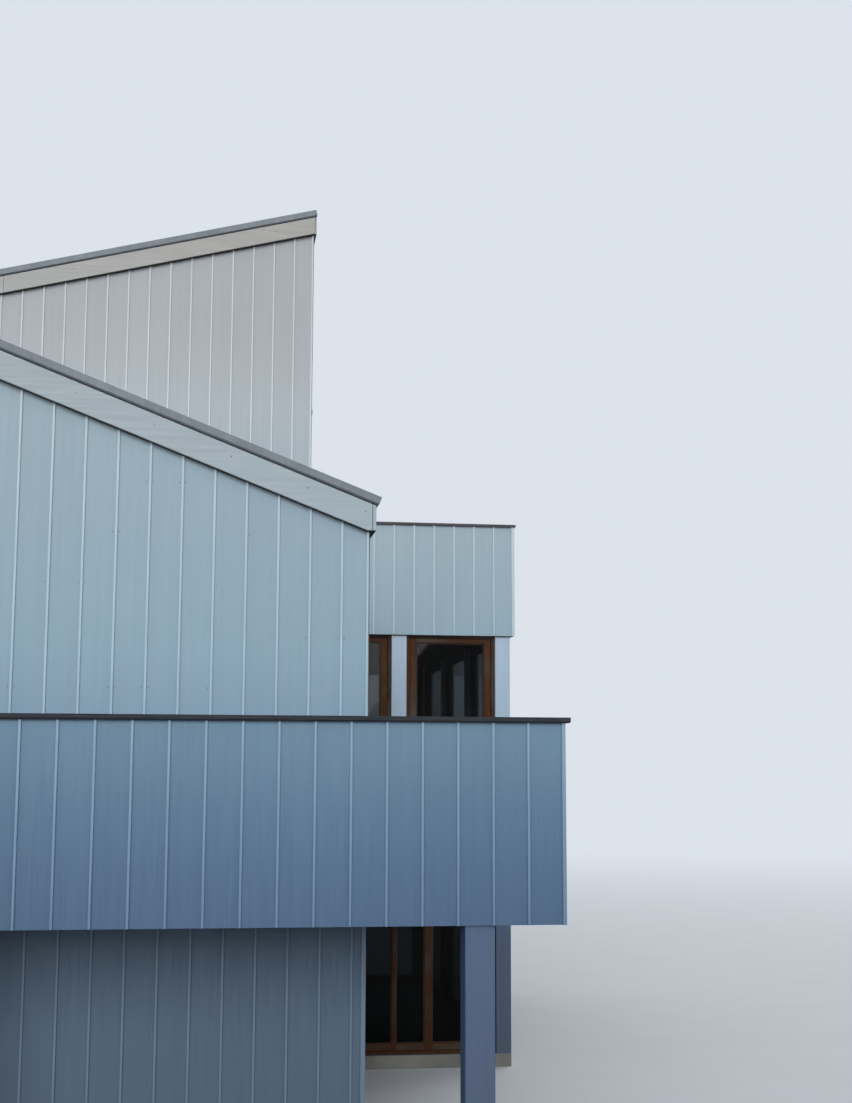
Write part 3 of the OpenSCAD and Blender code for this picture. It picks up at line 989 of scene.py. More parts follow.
class Finishes:
    """Every finish that more than one piece takes, made once."""

    def __init__(self) -> None:
        """Makes the shared materials."""
        raised = Relief(0.0015, 0.6)
        # Planed cedar battens and corner boards in acrylic paint, with a faint grain along them.
        # Their tone is lighter than the panels' as a painted highlight, for the light that the proud
        # battens catch, and darker towards the ground as painted shade.
        self.battens = PaintedBoards("painted_battens", BATTEN_PAINT_AND_LIGHT).make()
        # The same on the deck's parapets, painted darker and bluer than the walls: painted shade,
        # for the parapets stand low.
        self.deck_battens = PaintedBoards("painted_deck_battens", DECK_BATTEN_PAINT_AND_LIGHT).make()
        # Planed wide rake and eave boards in the same paint: calm, warmer up high and bluer lower
        # down, as painted light.
        self.trim = PaintedBoards("painted_trim_boards", TRIM_PAINT_AND_LIGHT, 18.0).make()
        # Boxed posts of planed boards in the same paint: smooth, pale and a little blue, and dark
        # towards the ground as painted shade under the deck.
        self.posts = PaintedBoards("painted_posts", POST_PAINT_AND_SHADE, 22.0).make()
        # Rough sawn beams round the box, painted as the panels are, without joints.
        self.rim = PaintedPanels("painted_rim_beams", pitch=8.0).make()
        # Oiled cedar joinery, planed: red brown with narrow dark grain and a low sheen. Sun and salt
        # have turned some of the boards grey. Its tones are darker than the oiled wood's own: partly
        # its colour and partly painted shade, for the shadow under the box's band.
        self.cedar = Timber("oiled_cedar_frames", "#542D0C", "#201003", silver="#4F4941",
                            shine=0.15).make()
        # The door's oiled cedar boards: a shade lighter, kept out of the weather.
        self.door = Timber("oiled_cedar_door", "#8A5C3C", "#4A2C19", 6.0).make()
        # Stained softwood caps, weathered: dark slate grey, dry, with raised grain.
        self.cap = Timber("stained_cap_boards", "#2E343C", "#1B1F24", 7.0, (0.6, 0.8),
                          raised).make()
        # Cedar deck boards left to silver: grey brown with raised, dry grain.
        self.decking = Timber("silvered_decking", "#938E86", "#615C56", 6.0, (0.65, 0.85),
                              raised).make()
        # Rough sawn fir joists and beams: straw brown, coarse and matt.
        self.framing = Timber("rough_sawn_fir", "#8E7656", "#5E4A33", 8.0, (0.7, 0.85),
                              raised, True).make()
        # Oiled floor boards indoors: dark brown and half matt.
        self.floor_timber = Timber("oiled_floor_boards", "#6E543B", "#463221", 8.0, (0.4, 0.6),
                                   on_node=True).make()
        # Folded zinc alloy roof edges: mid grey with paler blooms of salt.
        self.edge = SheetMetal("zinc_roof_edge", "#62696F", "#767D84").make()
        # The box's coping of dark prepainted steel: near slate, with fewer blooms.
        self.coping = SheetMetal("dark_box_coping", "#303134", "#3D3F42").make()
        # Near-black sheet strips: under the rake and eave boards and the box's band they are painted
        # shade for the shadowed undersides, and at the ocean corners they draw a thin dark line.
        self.dark_strip = SheetMetal("near_black_strip", "#1A1918", "#262422", 0.0).make()
        # Brushed stainless handle and hinges: bright, smooth metal.
        self.handle = SheetMetal("brushed_steel_handle", "#9A9A98", "#B4B4B2", 1.0,
                                 (0.28, 0.38)).make()
        # Mineral faced roofing sheets, lapped and bonded: grey, dull and speckled.
        self.roofing = Membrane("roofing_membrane").make()
        # Cast concrete slabs, steel trowelled: mid grey and cloudy, with 8 mm pinholes.
        self.concrete = Mottled("trowelled_concrete", "#93938F", "#6F706D",
                                Pattern(500, detail=5.0), Pattern(8, detail=4.0), (0.0, 1.0),
                                (0.7, 0.9), Relief(0.001)).make()
        # Sealed double glass with a grey tint: nearly black from outside.
        self.glass = TintedGlass("tinted_glass", "#808589").make()
        # The same glass in the ground floor with a deeper tint: painted shade, for the shadow under
        # the deck.
        self.dark_glass = TintedGlass("glass_tinted_for_shade", "#54595C").make()
        # Black rubber strips round the glass, extruded: dull, with a fine powdery bloom.
        powder = Pattern(3, detail=2.0)
        self.rubber = Mottled("rubber_glazing_strip", "#121213", "#3C3A37", powder, powder,
                              (0.0, 0.4), (0.62, 0.8), Relief(0.0003, 0.3)).make()
        # Galvanised nails, painted with the boards.
        self.nails = NailHeads("board_nail_heads", PANEL_PAINT_AND_SHADE).make()
        # The same in the deck's parapets.
        self.deck_nails = NailHeads("parapet_nail_heads", DECK_PAINT_AND_SHADE).make()
        # Nails in the rake boards, painted with them.
        self.rake_nails = NailHeads("rake_nail_heads", PaintTone(((0.0, "#7E8488"),)), "#555250",
                                    0.35).make()
        # Coated steel deck screws, all bare.
        self.screws = NailHeads("deck_screw_heads", PaintTone(((0.0, "#3A3835"),)),
                                bare_share=1.0).make()


@dataclass
class SubAssembly:
    """A part of the house that is dressed on its own, with the finishes that it takes."""

    finishes: Finishes


# Boarded walls


@dataclass(frozen=True)
class Opening:
    """A window or door opening in a boarded face, in the face's own coordinates."""

    low: float
    high: float
    sill: float
    head: float


@dataclass
class Boarding:
    """Battens, corner boards, casings and nail heads on one boarded face.

    The battens cover the joints between wide boards. They stand on the boards, stop at the
    openings' casings, and run up behind the rake or eave boards.
    """

    name: str
    face: Face
    start: float
    end: float
    foot: RoofLine
    head: RoofLine
    first: float
    pitch: float = 0.254
    openings: list[Opening] = field(default_factory=list)
    start_corner: Pair | None = None
    end_corner: Pair | None = None
    batten: float = 0.019
    corner_room: float = 1.5
    thick: float = 0.019
    ease: float = 0.002
    casing: float = 0.045
    casing_thick: float = 0.024
    sill_over: float = 0.022
    sill_back: float = -0.030
    sill_gap: float = 0.004
    flashing_over: float = 0.006
    flashing_out: float = 0.010
    flashing_thick: float = 0.003
    nail_row: float = 0.406
    nail_first: float = 0.058
    nail_edge: float = 0.05
    nail_from_batten: float = 0.026
    nail_radius: float = 0.0045
    nail_rise: float = 0.0012
    shortest: float = 0.03

    def centres(self) -> Array:
        """Batten centres that fit between the corner boards.

        Returns:
            Places along the face.
        """
        low = self.start_corner[1] if self.start_corner else self.start
        high = self.end_corner[0] if self.end_corner else self.end
        count = np.arange(math.floor((low - self.first) / self.pitch),
                          math.ceil((high - self.first) / self.pitch) + 1)
        spots = self.first + count * self.pitch
        room = self.batten * self.corner_room
        return spots[(spots > low + room) & (spots < high - room)]

    def spans(self, u: float, reach: float) -> list[Pair]:
        """Upright stretches of the face at u that no opening takes.

        Args:
            u: Place along the face.
            reach: Half the width that has to be clear.

        Returns:
            Lower and upper ends.
        """
        spans = [(float(self.foot.at(u)), float(self.head.at(u)))]
        for gap in sorted(self.openings, key=lambda opening: opening.sill):
            if gap.low - self.casing - reach < u < gap.high + self.casing + reach:
                low, high = spans.pop()
                spans += [(low, gap.sill - self.casing), (gap.head + self.casing, high)]
        return [span for span in spans if span[1] - span[0] > self.shortest]

    def batten_outlines(self) -> Array:
        """All battens, cut to the slopes at their two ends.

        Returns:
            Their outlines.
        """
        outlines = []
        half = self.batten / 2
        for u in self.centres():
            for low, high in self.spans(u, half):
                foot = self.foot.rise * half if low == float(self.foot.at(u)) else 0.0
                head = self.head.rise * half if high == float(self.head.at(u)) else 0.0
                outlines.append([[u - half, low - foot], [u + half, low + foot],
                                 [u + half, high + head], [u - half, high - head]])
        return np.array(outlines)

    def nail_spots(self) -> Array:
        """Nails in level rows, on both sides of every batten.

        Returns:
            Their places on the face.
        """
        spots = []
        for u in self.centres():
            for side in (-self.nail_from_batten, self.nail_from_batten):
                for low, high in self.spans(u + side, self.nail_radius):
                    first = low + self.nail_edge - self.nail_first
                    last = high - self.nail_edge - self.nail_first
                    rows = np.arange(math.ceil(first / self.nail_row),
                                     math.floor(last / self.nail_row) + 1)
                    spots += [[u + side, self.nail_first + row * self.nail_row] for row in rows]
        return np.array(spots)

    def corner_outlines(self) -> Array:
        """The corner boards, from their low to their high side.

        Returns:
            Their outlines.
        """
        return np.array([[[low, self.foot.at(low)], [high, self.foot.at(high)],
                          [high, self.head.at(high)], [low, self.head.at(low)]]
                         for low, high in filter(None, (self.start_corner, self.end_corner))])

    def casings(self, shell: Shell) -> None:
        """Adds the boards round every opening: two jambs, a head and a sill that sheds water.

        Args:
            shell: Takes the boards.
        """
        for gap in self.openings:
            door = gap.sill <= self.foot.level + self.shortest
            left, right = gap.low - self.casing, gap.high + self.casing
            low = gap.sill if door else gap.sill - self.casing
            sides = [rectangle(left, gap.low, low, gap.head),
                     rectangle(gap.high, right, low, gap.head)]
            shell.extrude(self.face, np.array(sides), 0, self.casing_thick, self.ease)
            shell.extrude(self.face, rectangle(left, right, gap.head, gap.head + self.casing), 0,
                          self.casing_thick, self.ease, Grain.ALONG)
            if not door:
                sill = rectangle(left - self.sill_over, right + self.sill_over,
                                 low, gap.sill - self.sill_gap)
                shell.extrude(self.face, sill, self.sill_back, self.casing_thick + self.sill_over,
                              2 * self.ease, Grain.ALONG)

    def flashings(self, shell: Shell) -> None:
        """Adds a folded metal strip over every head casing.

        Args:
            shell: Takes the strips.
        """
        over = self.casing + self.flashing_over
        for gap in self.openings:
            top = gap.head + self.casing
            shell.extrude(self.face, rectangle(gap.low - over, gap.high + over, top,
                                               top + self.flashing_thick),
                          0, self.casing_thick + self.flashing_out)

    def build(self, paint: Material, flashing: Shell, nails: Shell) -> None:
        """Makes the face's battens, corner boards and casings, and adds its metal and nails.

        Args:
            paint: The boards' finish.
            flashing: Takes the strips over the casings.
            nails: Takes the nail heads.
        """
        shell = Shell(self.name)
        shell.extrude(self.face, self.batten_outlines(), 0, self.thick, self.ease)
        shell.extrude(self.face, self.corner_outlines(), 0, self.thick, self.ease)
        self.casings(shell)
        self.flashings(flashing)
        nails.heads(self.face, self.nail_spots(), self.nail_radius, 0, self.nail_rise)
        shell.make(paint, Slot.WALLS)


@dataclass
class Cladding(SubAssembly):
    """All the boarded faces of the house, and the paint on the walls behind them.

    The first batten and the pitch of each face are as the photograph shows them, and those
    of the faces that it doesn't show follow their neighbours.
    """

    panes: dict[Storey, Array]
    stile: float = 0.125
    head_rail: float = 0.085
    pane_depth: float = 0.05
    proud: float = 0.019
    wall: float = 0.160
    behind_trim: float = 0.036
    over_roofing: float = 0.004
    pitch: float = 0.254
    under_pitch: float = 0.247
    box_pitch: float = 0.2492
    deck_first: float = 1.0372
    front_first: float = -0.1973
    under_first: float = -0.0930
    middle_first: float = -0.2305
    box_first: float = 2.2935
    side_first: float = 0.235
    rail_first: float = 0.254
    deck_corner: float = 1.281
    deck_strip: float = 0.027
    rim_nails: float = 2.945
    corner: float = 0.037
    slim: float = 0.018
    # Width of the near-black strip outside each ocean corner board.
    angle: float = 0.005
    front_corner: Pair = (-0.019 / 9, 0.019)
    middle_corner: Pair = (-0.015, 0.005)
    parapet: float = 0.120
    box_start: float = 0.03
    end_strip: Pair = (0.140, 0.165)
    storey_split: float = 0.5
    lined_from: float = 0.55
    lined_top: float = 20.0

    def openings(self, axis: int, low: float, high: float) -> list[Opening]:
        """Openings of the windows whose panes stand between two planes.

        Args:
            axis: 0 for panes that look along x, 1 for those that look along y.
            low: Lower plane.
            high: Higher plane.

        Returns:
            The openings, drawn along the other level axis.
        """
        panes = np.concatenate(list(self.panes.values()))
        size = panes[:, 1] - panes[:, 0]
        inside = ((size[:, axis] < self.pane_depth) & (panes[:, 0, axis] > low)
                  & (panes[:, 0, axis] < high))
        return [Opening(pane[0][1 - axis] - self.stile, pane[1][1 - axis] + self.stile,
                        pane[0][2] - self.stile, pane[1][2] + self.head_rail)
                for pane in panes[inside]]

    def deck_faces(self) -> list[Boarding]:
        """The parapets' outer and inner faces.

        Returns:
            Their boarding.
        """
        h = HOUSE
        skirt, floor, rail = flat(h.skirt), flat(h.second), flat(h.parapet_top)
        inner = self.parapet
        side = {"nail_first": self.rim_nails, "nail_row": h.parapet_top - h.skirt,
                "start_corner": (0.0, self.deck_strip)}
        front = side | {"start_corner": (h.land - self.proud, h.land + self.slim / 2),
                        "end_corner": (self.deck_corner, h.gallery + self.proud)}
        return [
            Boarding("front_parapet_battens", facing_front(0), h.land, h.gallery, skirt, rail,
                     self.deck_first, **front),
            Boarding("ocean_parapet_battens", facing_ocean(h.gallery), 0, h.middle, skirt, rail,
                     self.rail_first, **side),
            Boarding("land_parapet_battens", facing_land(h.land), 0, h.front, skirt, rail,
                     self.rail_first, **side),
            Boarding("front_parapet_inner_battens", facing_far(inner), h.land + inner,
                     h.gallery - inner, floor, rail, self.deck_first),
            Boarding("ocean_parapet_inner_battens", facing_land(h.gallery - inner), inner,
                     h.middle, floor, rail, self.rail_first),
            Boarding("land_parapet_inner_battens", facing_ocean(h.land + inner), inner,
                     h.front, floor, rail, self.rail_first),
        ]

    def front_faces(self) -> list[Boarding]:
        """The walls of the front part, which the lower roof covers.

        Returns:
            Their boarding.
        """
        h = HOUSE
        head = h.front_line.below(h.front_edge + h.front_rake - self.behind_trim)
        slab, floor, under = flat(h.slab_top), flat(h.second), flat(h.joist_low)
        split = h.second - self.storey_split
        first = h.front + self.side_first
        lands = (h.land - self.proud, h.land + self.slim)
        corner = (h.front, h.front + self.corner)
        fronts = self.openings(1, h.front, h.front + self.wall)
        oceans = [gap for gap in self.openings(0, -self.wall, 0.0) if gap.high < h.middle]
        inland = [gap for gap in self.openings(0, h.land, h.land + self.wall)
                  if gap.high < h.middle]
        entry_low, entry_high = house_box("entry_frame")
        door = Opening(entry_low[1], entry_high[1], entry_low[2], entry_high[2])
        return [
            Boarding("front_wall_battens", facing_front(h.front), h.land, 0.0, floor, head,
                     self.front_first, openings=[gap for gap in fronts if gap.sill > split],
                     start_corner=lands, end_corner=self.front_corner),
            Boarding("front_wall_lower_battens", facing_front(h.front), h.land, 0.0, slab,
                     under, self.under_first, self.under_pitch,
                     openings=[gap for gap in fronts if gap.sill < split],
                     start_corner=lands, end_corner=(-self.slim, self.proud)),
            Boarding("front_ocean_wall_battens", facing_ocean(0), h.front, h.middle, floor,
                     flat(float(head.at(0))), first,
                     openings=[gap for gap in oceans if gap.sill > split], start_corner=corner),
            Boarding("front_ocean_wall_lower_battens", facing_ocean(0), h.front, h.middle, slab,
                     under, first, openings=[gap for gap in oceans if gap.sill < split],
                     start_corner=corner),
            Boarding("front_land_wall_battens", facing_land(h.land), h.front, h.middle, slab,
                     flat(float(head.at(h.land))), first, openings=inland + [door],
                     start_corner=corner),
        ]

    def back_faces(self) -> list[Boarding]:
        """The walls of the back part, which the upper roof covers.

        Returns:
            Their boarding.
        """
        h = HOUSE
        head = h.upper_line.below(h.upper_edge + h.upper_rake - self.behind_trim)
        over_front = h.front_line.below(h.edge_rise - self.over_roofing)
        slab = flat(h.slab_top)
        first = h.middle + self.side_first
        near, away = self.end_strip
        oceans = [gap for gap in self.openings(0, -self.wall, 0.0) if gap.low > h.middle]
        fars = [gap for gap in self.openings(1, h.far - self.wall, h.far) if gap.high < 0]
        inland = [gap for gap in self.openings(0, h.land, h.land + self.wall)
                  if gap.low > h.middle]
        return [
            Boarding("middle_wall_battens", facing_front(h.middle), h.land, 0.0, over_front,
                     head, self.middle_first, end_corner=self.middle_corner),
            Boarding("upper_ocean_wall_battens", facing_ocean(0), h.middle, h.far,
                     flat(h.third), flat(float(head.at(0))), first, openings=oceans,
                     start_corner=(h.middle + near, h.middle + away),
                     end_corner=(h.far - away, h.far - near)),
            Boarding("far_wall_battens", facing_far(h.far), h.land, 0.0, slab, head,
                     self.middle_first, openings=fars,
                     start_corner=(h.land - self.proud, h.land + self.slim)),
            Boarding("back_land_wall_battens", facing_land(h.land), h.middle, h.far, slab,
                     flat(float(head.at(h.land))), first, openings=inland,
                     end_corner=(h.far - self.corner, h.far)),
        ]

    def box_faces(self) -> list[Boarding]:
        """The flat roofed box's boarded bands.

        Returns:
            Their boarding.
        """
        h = HOUSE
        levels = flat(h.band_low), flat(h.band_top)
        corner = (h.box - self.slim, h.box + self.proud)
        return [
            Boarding("box_front_band_battens", facing_front(h.middle), self.box_start, h.box,
                     *levels, self.box_first, self.box_pitch, end_corner=corner),
            Boarding("box_ocean_band_battens", facing_ocean(h.box), h.middle, h.far, *levels,
                     h.middle + self.side_first, self.box_pitch,
                     start_corner=(h.middle, h.middle + self.corner),
                     end_corner=(h.far - self.corner, h.far)),
            Boarding("box_far_band_battens", facing_far(h.far), self.box_start, h.box, *levels,
                     self.box_first, self.box_pitch, end_corner=corner),
        ]

    def corner_dark_strips(self) -> None:
        """Makes thin near-black strips outside the two ocean corners' boards, which draw a dark line
        down those corners.
        """
        h = HOUSE
        shell = Shell("ocean_corner_dark_strips")
        for face_y, x, foot, line, drop in (
                (h.front, self.proud, h.second, h.front_line, h.front_edge + h.front_rake),
                (h.middle, self.middle_corner[1], h.third, h.upper_line,
                 h.upper_edge + h.upper_rake)):
            outline = rectangle(x, x + self.angle, foot, float(line.at(0.0)) - drop)
            shell.extrude(facing_front(face_y), outline, -self.corner, self.proud)
        shell.make(self.finishes.dark_strip, Slot.EDGE_METAL)

    def paint_walls(self) -> None:
        """Gives every boarded CAD wall its paint, counted in the boards between its battens."""
        h = HOUSE
        depth = self.wall * self.lined_from
        low_x, high_x = h.land + depth, -depth
        front_room = (np.array([low_x, h.front + depth, 0]),
                      np.array([high_x, h.middle + self.wall, self.lined_top]))
        back_room = (np.array([low_x, h.middle + self.pane_depth, 0]),
                     np.array([high_x, h.far - depth, self.lined_top]))
        along_x, along_y = (1.0, 0.0, 0.0), (0.0, 1.0, 0.0)
        middle = (along_x, self.middle_first, self.pitch, back_room)
        front_side = (along_y, h.front + self.side_first, self.pitch, front_room)
        back_side = (along_y, h.middle + self.side_first, self.pitch, back_room)
        band = (along_x, self.box_first, self.box_pitch)
        # The parapets take the deck's tone, painted darker as shade.
        rail = (along_y, self.rail_first, self.pitch, None, DECK_PAINT_AND_SHADE)
        plans = {
            "front_wall": (along_x, self.front_first, self.pitch, front_room),
            "front_ocean_wall": front_side, "front_land_wall": front_side,
            "middle_wall_sides": middle, "middle_wall_spans": middle, "far_wall": middle,
            "back_land_wall": back_side, "upper_ocean_wall": back_side,
            "box_front_band": band, "box_far_band": band,
            "box_ocean_band": (along_y, h.middle + self.side_first, self.box_pitch),
            "front_parapet": (along_x, self.deck_first, self.pitch, None, DECK_PAINT_AND_SHADE),
            "ocean_parapet": rail, "land_parapet": rail,
        }
        for node, plan in plans.items():
            cover(node, PaintedPanels(f"painted_panels_{node}", *plan).make())

    def build(self) -> None:
        """Makes every boarded face's pieces and paints the walls."""
        flashing, nails = Shell("window_head_flashings"), Shell("board_nails")
        deck_nails = Shell("parapet_nails")
        # The parapets' battens take the deck's darker tone: painted shade.
        for boarding in self.deck_faces():
            boarding.build(self.finishes.deck_battens, flashing, deck_nails)
        for boarding in self.front_faces() + self.back_faces() + self.box_faces():
            boarding.build(self.finishes.battens, flashing, nails)
        flashing.make(self.finishes.edge, Slot.EDGE_METAL)
        nails.make(self.finishes.nails, Slot.WALLS)
        deck_nails.make(self.finishes.deck_nails, Slot.WALLS)
        self.corner_dark_strips()
        self.paint_walls()


def cover(node: str, material: Material) -> None:
    """Puts a material on a CAD node.

    Args:
        node: The node's name.
        material: The material.
    """
    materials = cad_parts[node].data.materials
    if not materials:
        materials.append(material)
    for index in range(len(materials)):
        materials[index] = material
    LOG.info("%s: %s", node, material.name)


# Roofs


@dataclass
class RoofTrim(SubAssembly):
    """Rake and eave boards, folded metal edges, roofing laps, flashings and the box's coping."""

    ease: float = 0.003
    joint: float = 0.002
    corner_joint: float = 0.003
    front_end: float = 0.009
    rake_over: float = 0.010
    reveal: float = 0.009
    nail_step: float = 0.610
    nail_from_end: float = 0.48
    nail_last: float = -0.018
    nail_share: float = 0.37
    nail_radius: float = 0.006
    nail_rise: float = 0.001
    upper_board_joint: float = -3.76
    front_board_joint: float = -5.55
    dark_strip: float = 0.003
    under_band: float = 0.1
    edge_over: float = 0.012
    edge_width: float = 0.150
    hem: float = 0.014
    fold: float = 0.003
    lip: float = 0.018
    flange: float = 0.003
    covered_to: float = -6.3
    sheet_width: float = 1.0
    lap_width: float = 0.10
    lap_rise: float = 0.004
    flashing_up: float = 0.085
    flashing_out: float = 0.090
    sheet: float = 0.0015
    coping_over: float = 0.034
    coping_band: float = 0.140
    coping_lip: float = 0.004
    coping_drip: float = 0.008
    coping_fall: float = 0.003

    def strip(self, line: RoofLine, x0: float, x1: float, low: float, high: float) -> Array:
        """Outline under a line with upright ends, from one depth below it to another."""
        return np.array([[x0, line.at(x0) - low], [x1, line.at(x1) - low],
                         [x1, line.at(x1) - high], [x0, line.at(x0) - high]])

    def above(self, outline: Array, line: RoofLine) -> Array:
        """The part of an outline above a line.

        An edge that crosses the line is cut where its two heights over it share it out.

        Args:
            outline: Corners of a convex outline.
            line: The line.

        Returns:
            The corners that are left.
        """
        kept = []
        for start, end in zip(outline, np.roll(outline, -1, axis=0)):
            over = [point[1] - line.at(point[0]) for point in (start, end)]
            if over[0] > 0:
                kept.append(start)
            if over[0] * over[1] < 0:
                kept.append(start + (end - start) * over[0] / (over[0] - over[1]))
        return np.array(kept)

    def rake_outlines(self, line: RoofLine, end: float, cut: float, edge: float,
                      rake: float) -> list[Array]:
        """A roof's rake boards, in two lengths whose feet are cut level.

        Args:
            line: The roof's line.
            end: Their ocean end.
            cut: The joint between the lengths.
            edge: Upright height of the metal edge above them.
            rake: Their upright height.

        Returns:
            Their outlines.
        """
        h = HOUSE
        half = self.joint / 2
        foot = flat(min(line.at(0.0), line.at(h.land)) - edge - rake)
        return [self.above(self.strip(line, x0, x1, edge + rake, edge), foot)
                for x0, x1 in ((h.land - h.trim_pack, cut - half),
                               (cut + half, end - self.corner_joint))]

    def rake_boards(self) -> None:
        """Makes the rake boards, with eased edges, and their nails."""
        h = HOUSE
        out = (h.trim_pack, h.trim_pack + h.board)
        front = self.rake_outlines(h.front_line, h.trim_pack + self.rake_over,
                                   self.front_board_joint, h.front_edge, h.front_rake)
        upper = self.rake_outlines(h.upper_line, h.upper_pack, self.upper_board_joint,
                                   h.upper_edge, h.upper_rake)
        shell = Shell("rake_boards_dressed")
        for outline in front:
            shell.extrude(facing_front(h.front), outline, *out, self.ease, Grain.ALONG)
        for outline in upper:
            shell.extrude(facing_front(h.middle), self.above(outline, h.front_line), *out,
                          self.ease, Grain.ALONG)
            shell.extrude(facing_far(h.far), outline, *out, self.ease, Grain.ALONG)
        shell.make(self.finishes.trim, Slot.TRIM, ("rake_boards",))
        nails = Shell("rake_board_nails")
        for face, line, top, height, start in (
                (facing_front(h.front), h.front_line, h.front_edge, h.front_rake, h.land),
                (facing_front(h.middle), h.upper_line, h.upper_edge, h.upper_rake,
                 self.covered_to),
                (facing_far(h.far), h.upper_line, h.upper_edge, h.upper_rake, h.land)):
            x = np.append(np.arange(-self.nail_from_end, start, -self.nail_step),
                          self.nail_last)
            spots = np.stack([x, line.at(x) - top - self.nail_share * height], axis=-1)
            nails.heads(face, spots, self.nail_radius, out[1], out[1] + self.nail_rise)
        nails.make(self.finishes.rake_nails, Slot.TRIM)

    def eave_boards(self) -> None:
        """Makes the level boards on the roofs' ocean and land ends."""
        h = HOUSE
        shell = Shell("eave_boards_dressed")
        out = h.trim_pack + h.board
        near, away = h.front - out, h.far + out
        ocean = (h.trim_pack + self.rake_over, out)
        upper_ocean = (h.upper_pack, h.upper_pack + h.upper_board)
        land = (h.land - out, h.land - h.trim_pack)
        front = (h.front_line, h.front_edge, h.front_rake)
        upper = (h.upper_line, h.upper_edge, h.upper_rake)
        for (line, edge, rake), at, (x0, x1), y0, y1 in (
                (front, 0.0, ocean, near, h.middle),
                (front, h.land, land, near, h.middle - self.joint),
                (upper, 0.0, upper_ocean, h.middle - out, away),
                (upper, h.land, land, h.middle, away)):
            foot = line.at(at) - (edge + rake)
            outline = np.array([[x0, foot], [x1, foot],
                                [x1, line.at(x1) - edge], [x0, line.at(x0) - edge]])
            shell.extrude(facing_far(0), outline, y1, y0, self.ease, Grain.OUT)
        shell.make(self.finishes.trim, Slot.TRIM, ("eave_boards",))

    def shade_strips(self) -> None:
        """Makes near-black strips under the rake boards, the eave boards and the box's band: painted
        shade for the shadowed undersides.
        """
        h = HOUSE
        shell = Shell("soffit_painted_shade_strips")
        out, t = h.trim_pack + h.board - self.joint, self.dark_strip
        upper_out = h.upper_pack + h.upper_board - self.joint
        front_foot, upper_foot = h.front_edge + h.front_rake, h.upper_edge + h.upper_rake
        front = self.strip(h.front_line, h.land - out, 0.0, front_foot + t, front_foot)
        upper = self.strip(h.upper_line, h.land - out, 0.0, upper_foot + t, upper_foot)
        for face, outline in ((facing_front(h.front), front),
                              (facing_front(h.middle), self.above(upper, h.front_line)),
                              (facing_far(h.far), upper)):
            shell.extrude(face, outline, 0, out, 0, Grain.ALONG)
        deep = self.under_band
        for outline in (rectangle(self.joint, h.box, h.middle, h.middle + deep),
                        rectangle(h.box - deep, h.box, h.middle + deep, h.far - deep),
                        rectangle(self.joint, h.box, h.far - deep, h.far)):
            shell.extrude(facing_up(h.band_low), outline, -2 * t, 0)
        near, away, land = h.front - out, h.far + out, h.land - out
        for line, at, foot, outline in (
                (h.front_line, 0.0, front_foot, rectangle(0.0, out, near, h.middle)),
                (h.front_line, h.land, front_foot,
                 rectangle(land, h.land, near, h.middle - self.joint)),
                (h.upper_line, 0.0, upper_foot, rectangle(0.0, upper_out, h.middle - out, away)),
                (h.upper_line, h.land, upper_foot, rectangle(land, h.land, h.middle, away))):
            shell.extrude(facing_up(float(line.at(at)) - foot), outline, -t, 0)
        shell.make(self.finishes.dark_strip, Slot.EDGE_METAL)

    def edge_profile(self, line: RoofLine, height: float) -> Array:
        """Profile of the folded metal edge, inwards and square to the roof.

        From its foot: a hem turned in to shed water, the face, a lip that stands over the
        roofing, and a thin flange lapped onto it. The part behind the face closes on the
        roof's own edge.

        Args:
            line: The roof's line.
            height: Upright height of the edge.

        Returns:
            The closed profile.
        """
        across = math.hypot(1.0, line.rise)
        foot, roofing = -height / across, -HOUSE.edge_rise / across
        leg, thin, fold = HOUSE.board + self.edge_over, self.sheet, self.fold
        return np.array([
            [self.edge_over - thin, foot], [0.0, foot + self.hem], [0.0, -fold], [fold, 0.0],
            [self.lip, 0.0], [self.lip + fold, -fold],
            [self.lip + 2 * fold, roofing + self.flange],
            [self.edge_width, roofing + self.flange], [self.edge_width, roofing],
            [leg, roofing], [leg, foot + self.hem], [self.edge_over, foot + self.hem],
            [self.edge_over, foot]])

    def metal_edges(self) -> None:
        """Makes the metal edges round both roofs.

        The path runs in the roof's own plane, to the lines where a cut square to the slope
        meets the boards' outer faces.
        """
        h = HOUSE
        out = h.trim_pack + h.board + self.edge_over
        upper_ocean = h.upper_pack + h.upper_board + self.edge_over
        for name, line, edge, ocean, near, away, closed in (
                ("front", h.front_line, h.front_edge, out + self.front_end, h.front - out,
                 h.middle, False),
                ("upper", h.upper_line, h.upper_edge, upper_ocean, h.middle - out,
                 h.far + out, True)):
            height = edge - self.reveal
            across = math.hypot(1.0, line.rise)
            lean = line.rise * height / across
            start, end = (h.land - out) * across - lean, (ocean - self.joint) * across - lean
            path = np.array([[start, away], [start, near], [end, near], [end, away]])
            shell = Shell(f"{name}_roof_folded_edge")
            shell.carry(sloping_up(line), path, self.edge_profile(line, height), closed)
            shell.make(self.finishes.edge, Slot.EDGE_METAL, (f"{name}_roof_edge",))

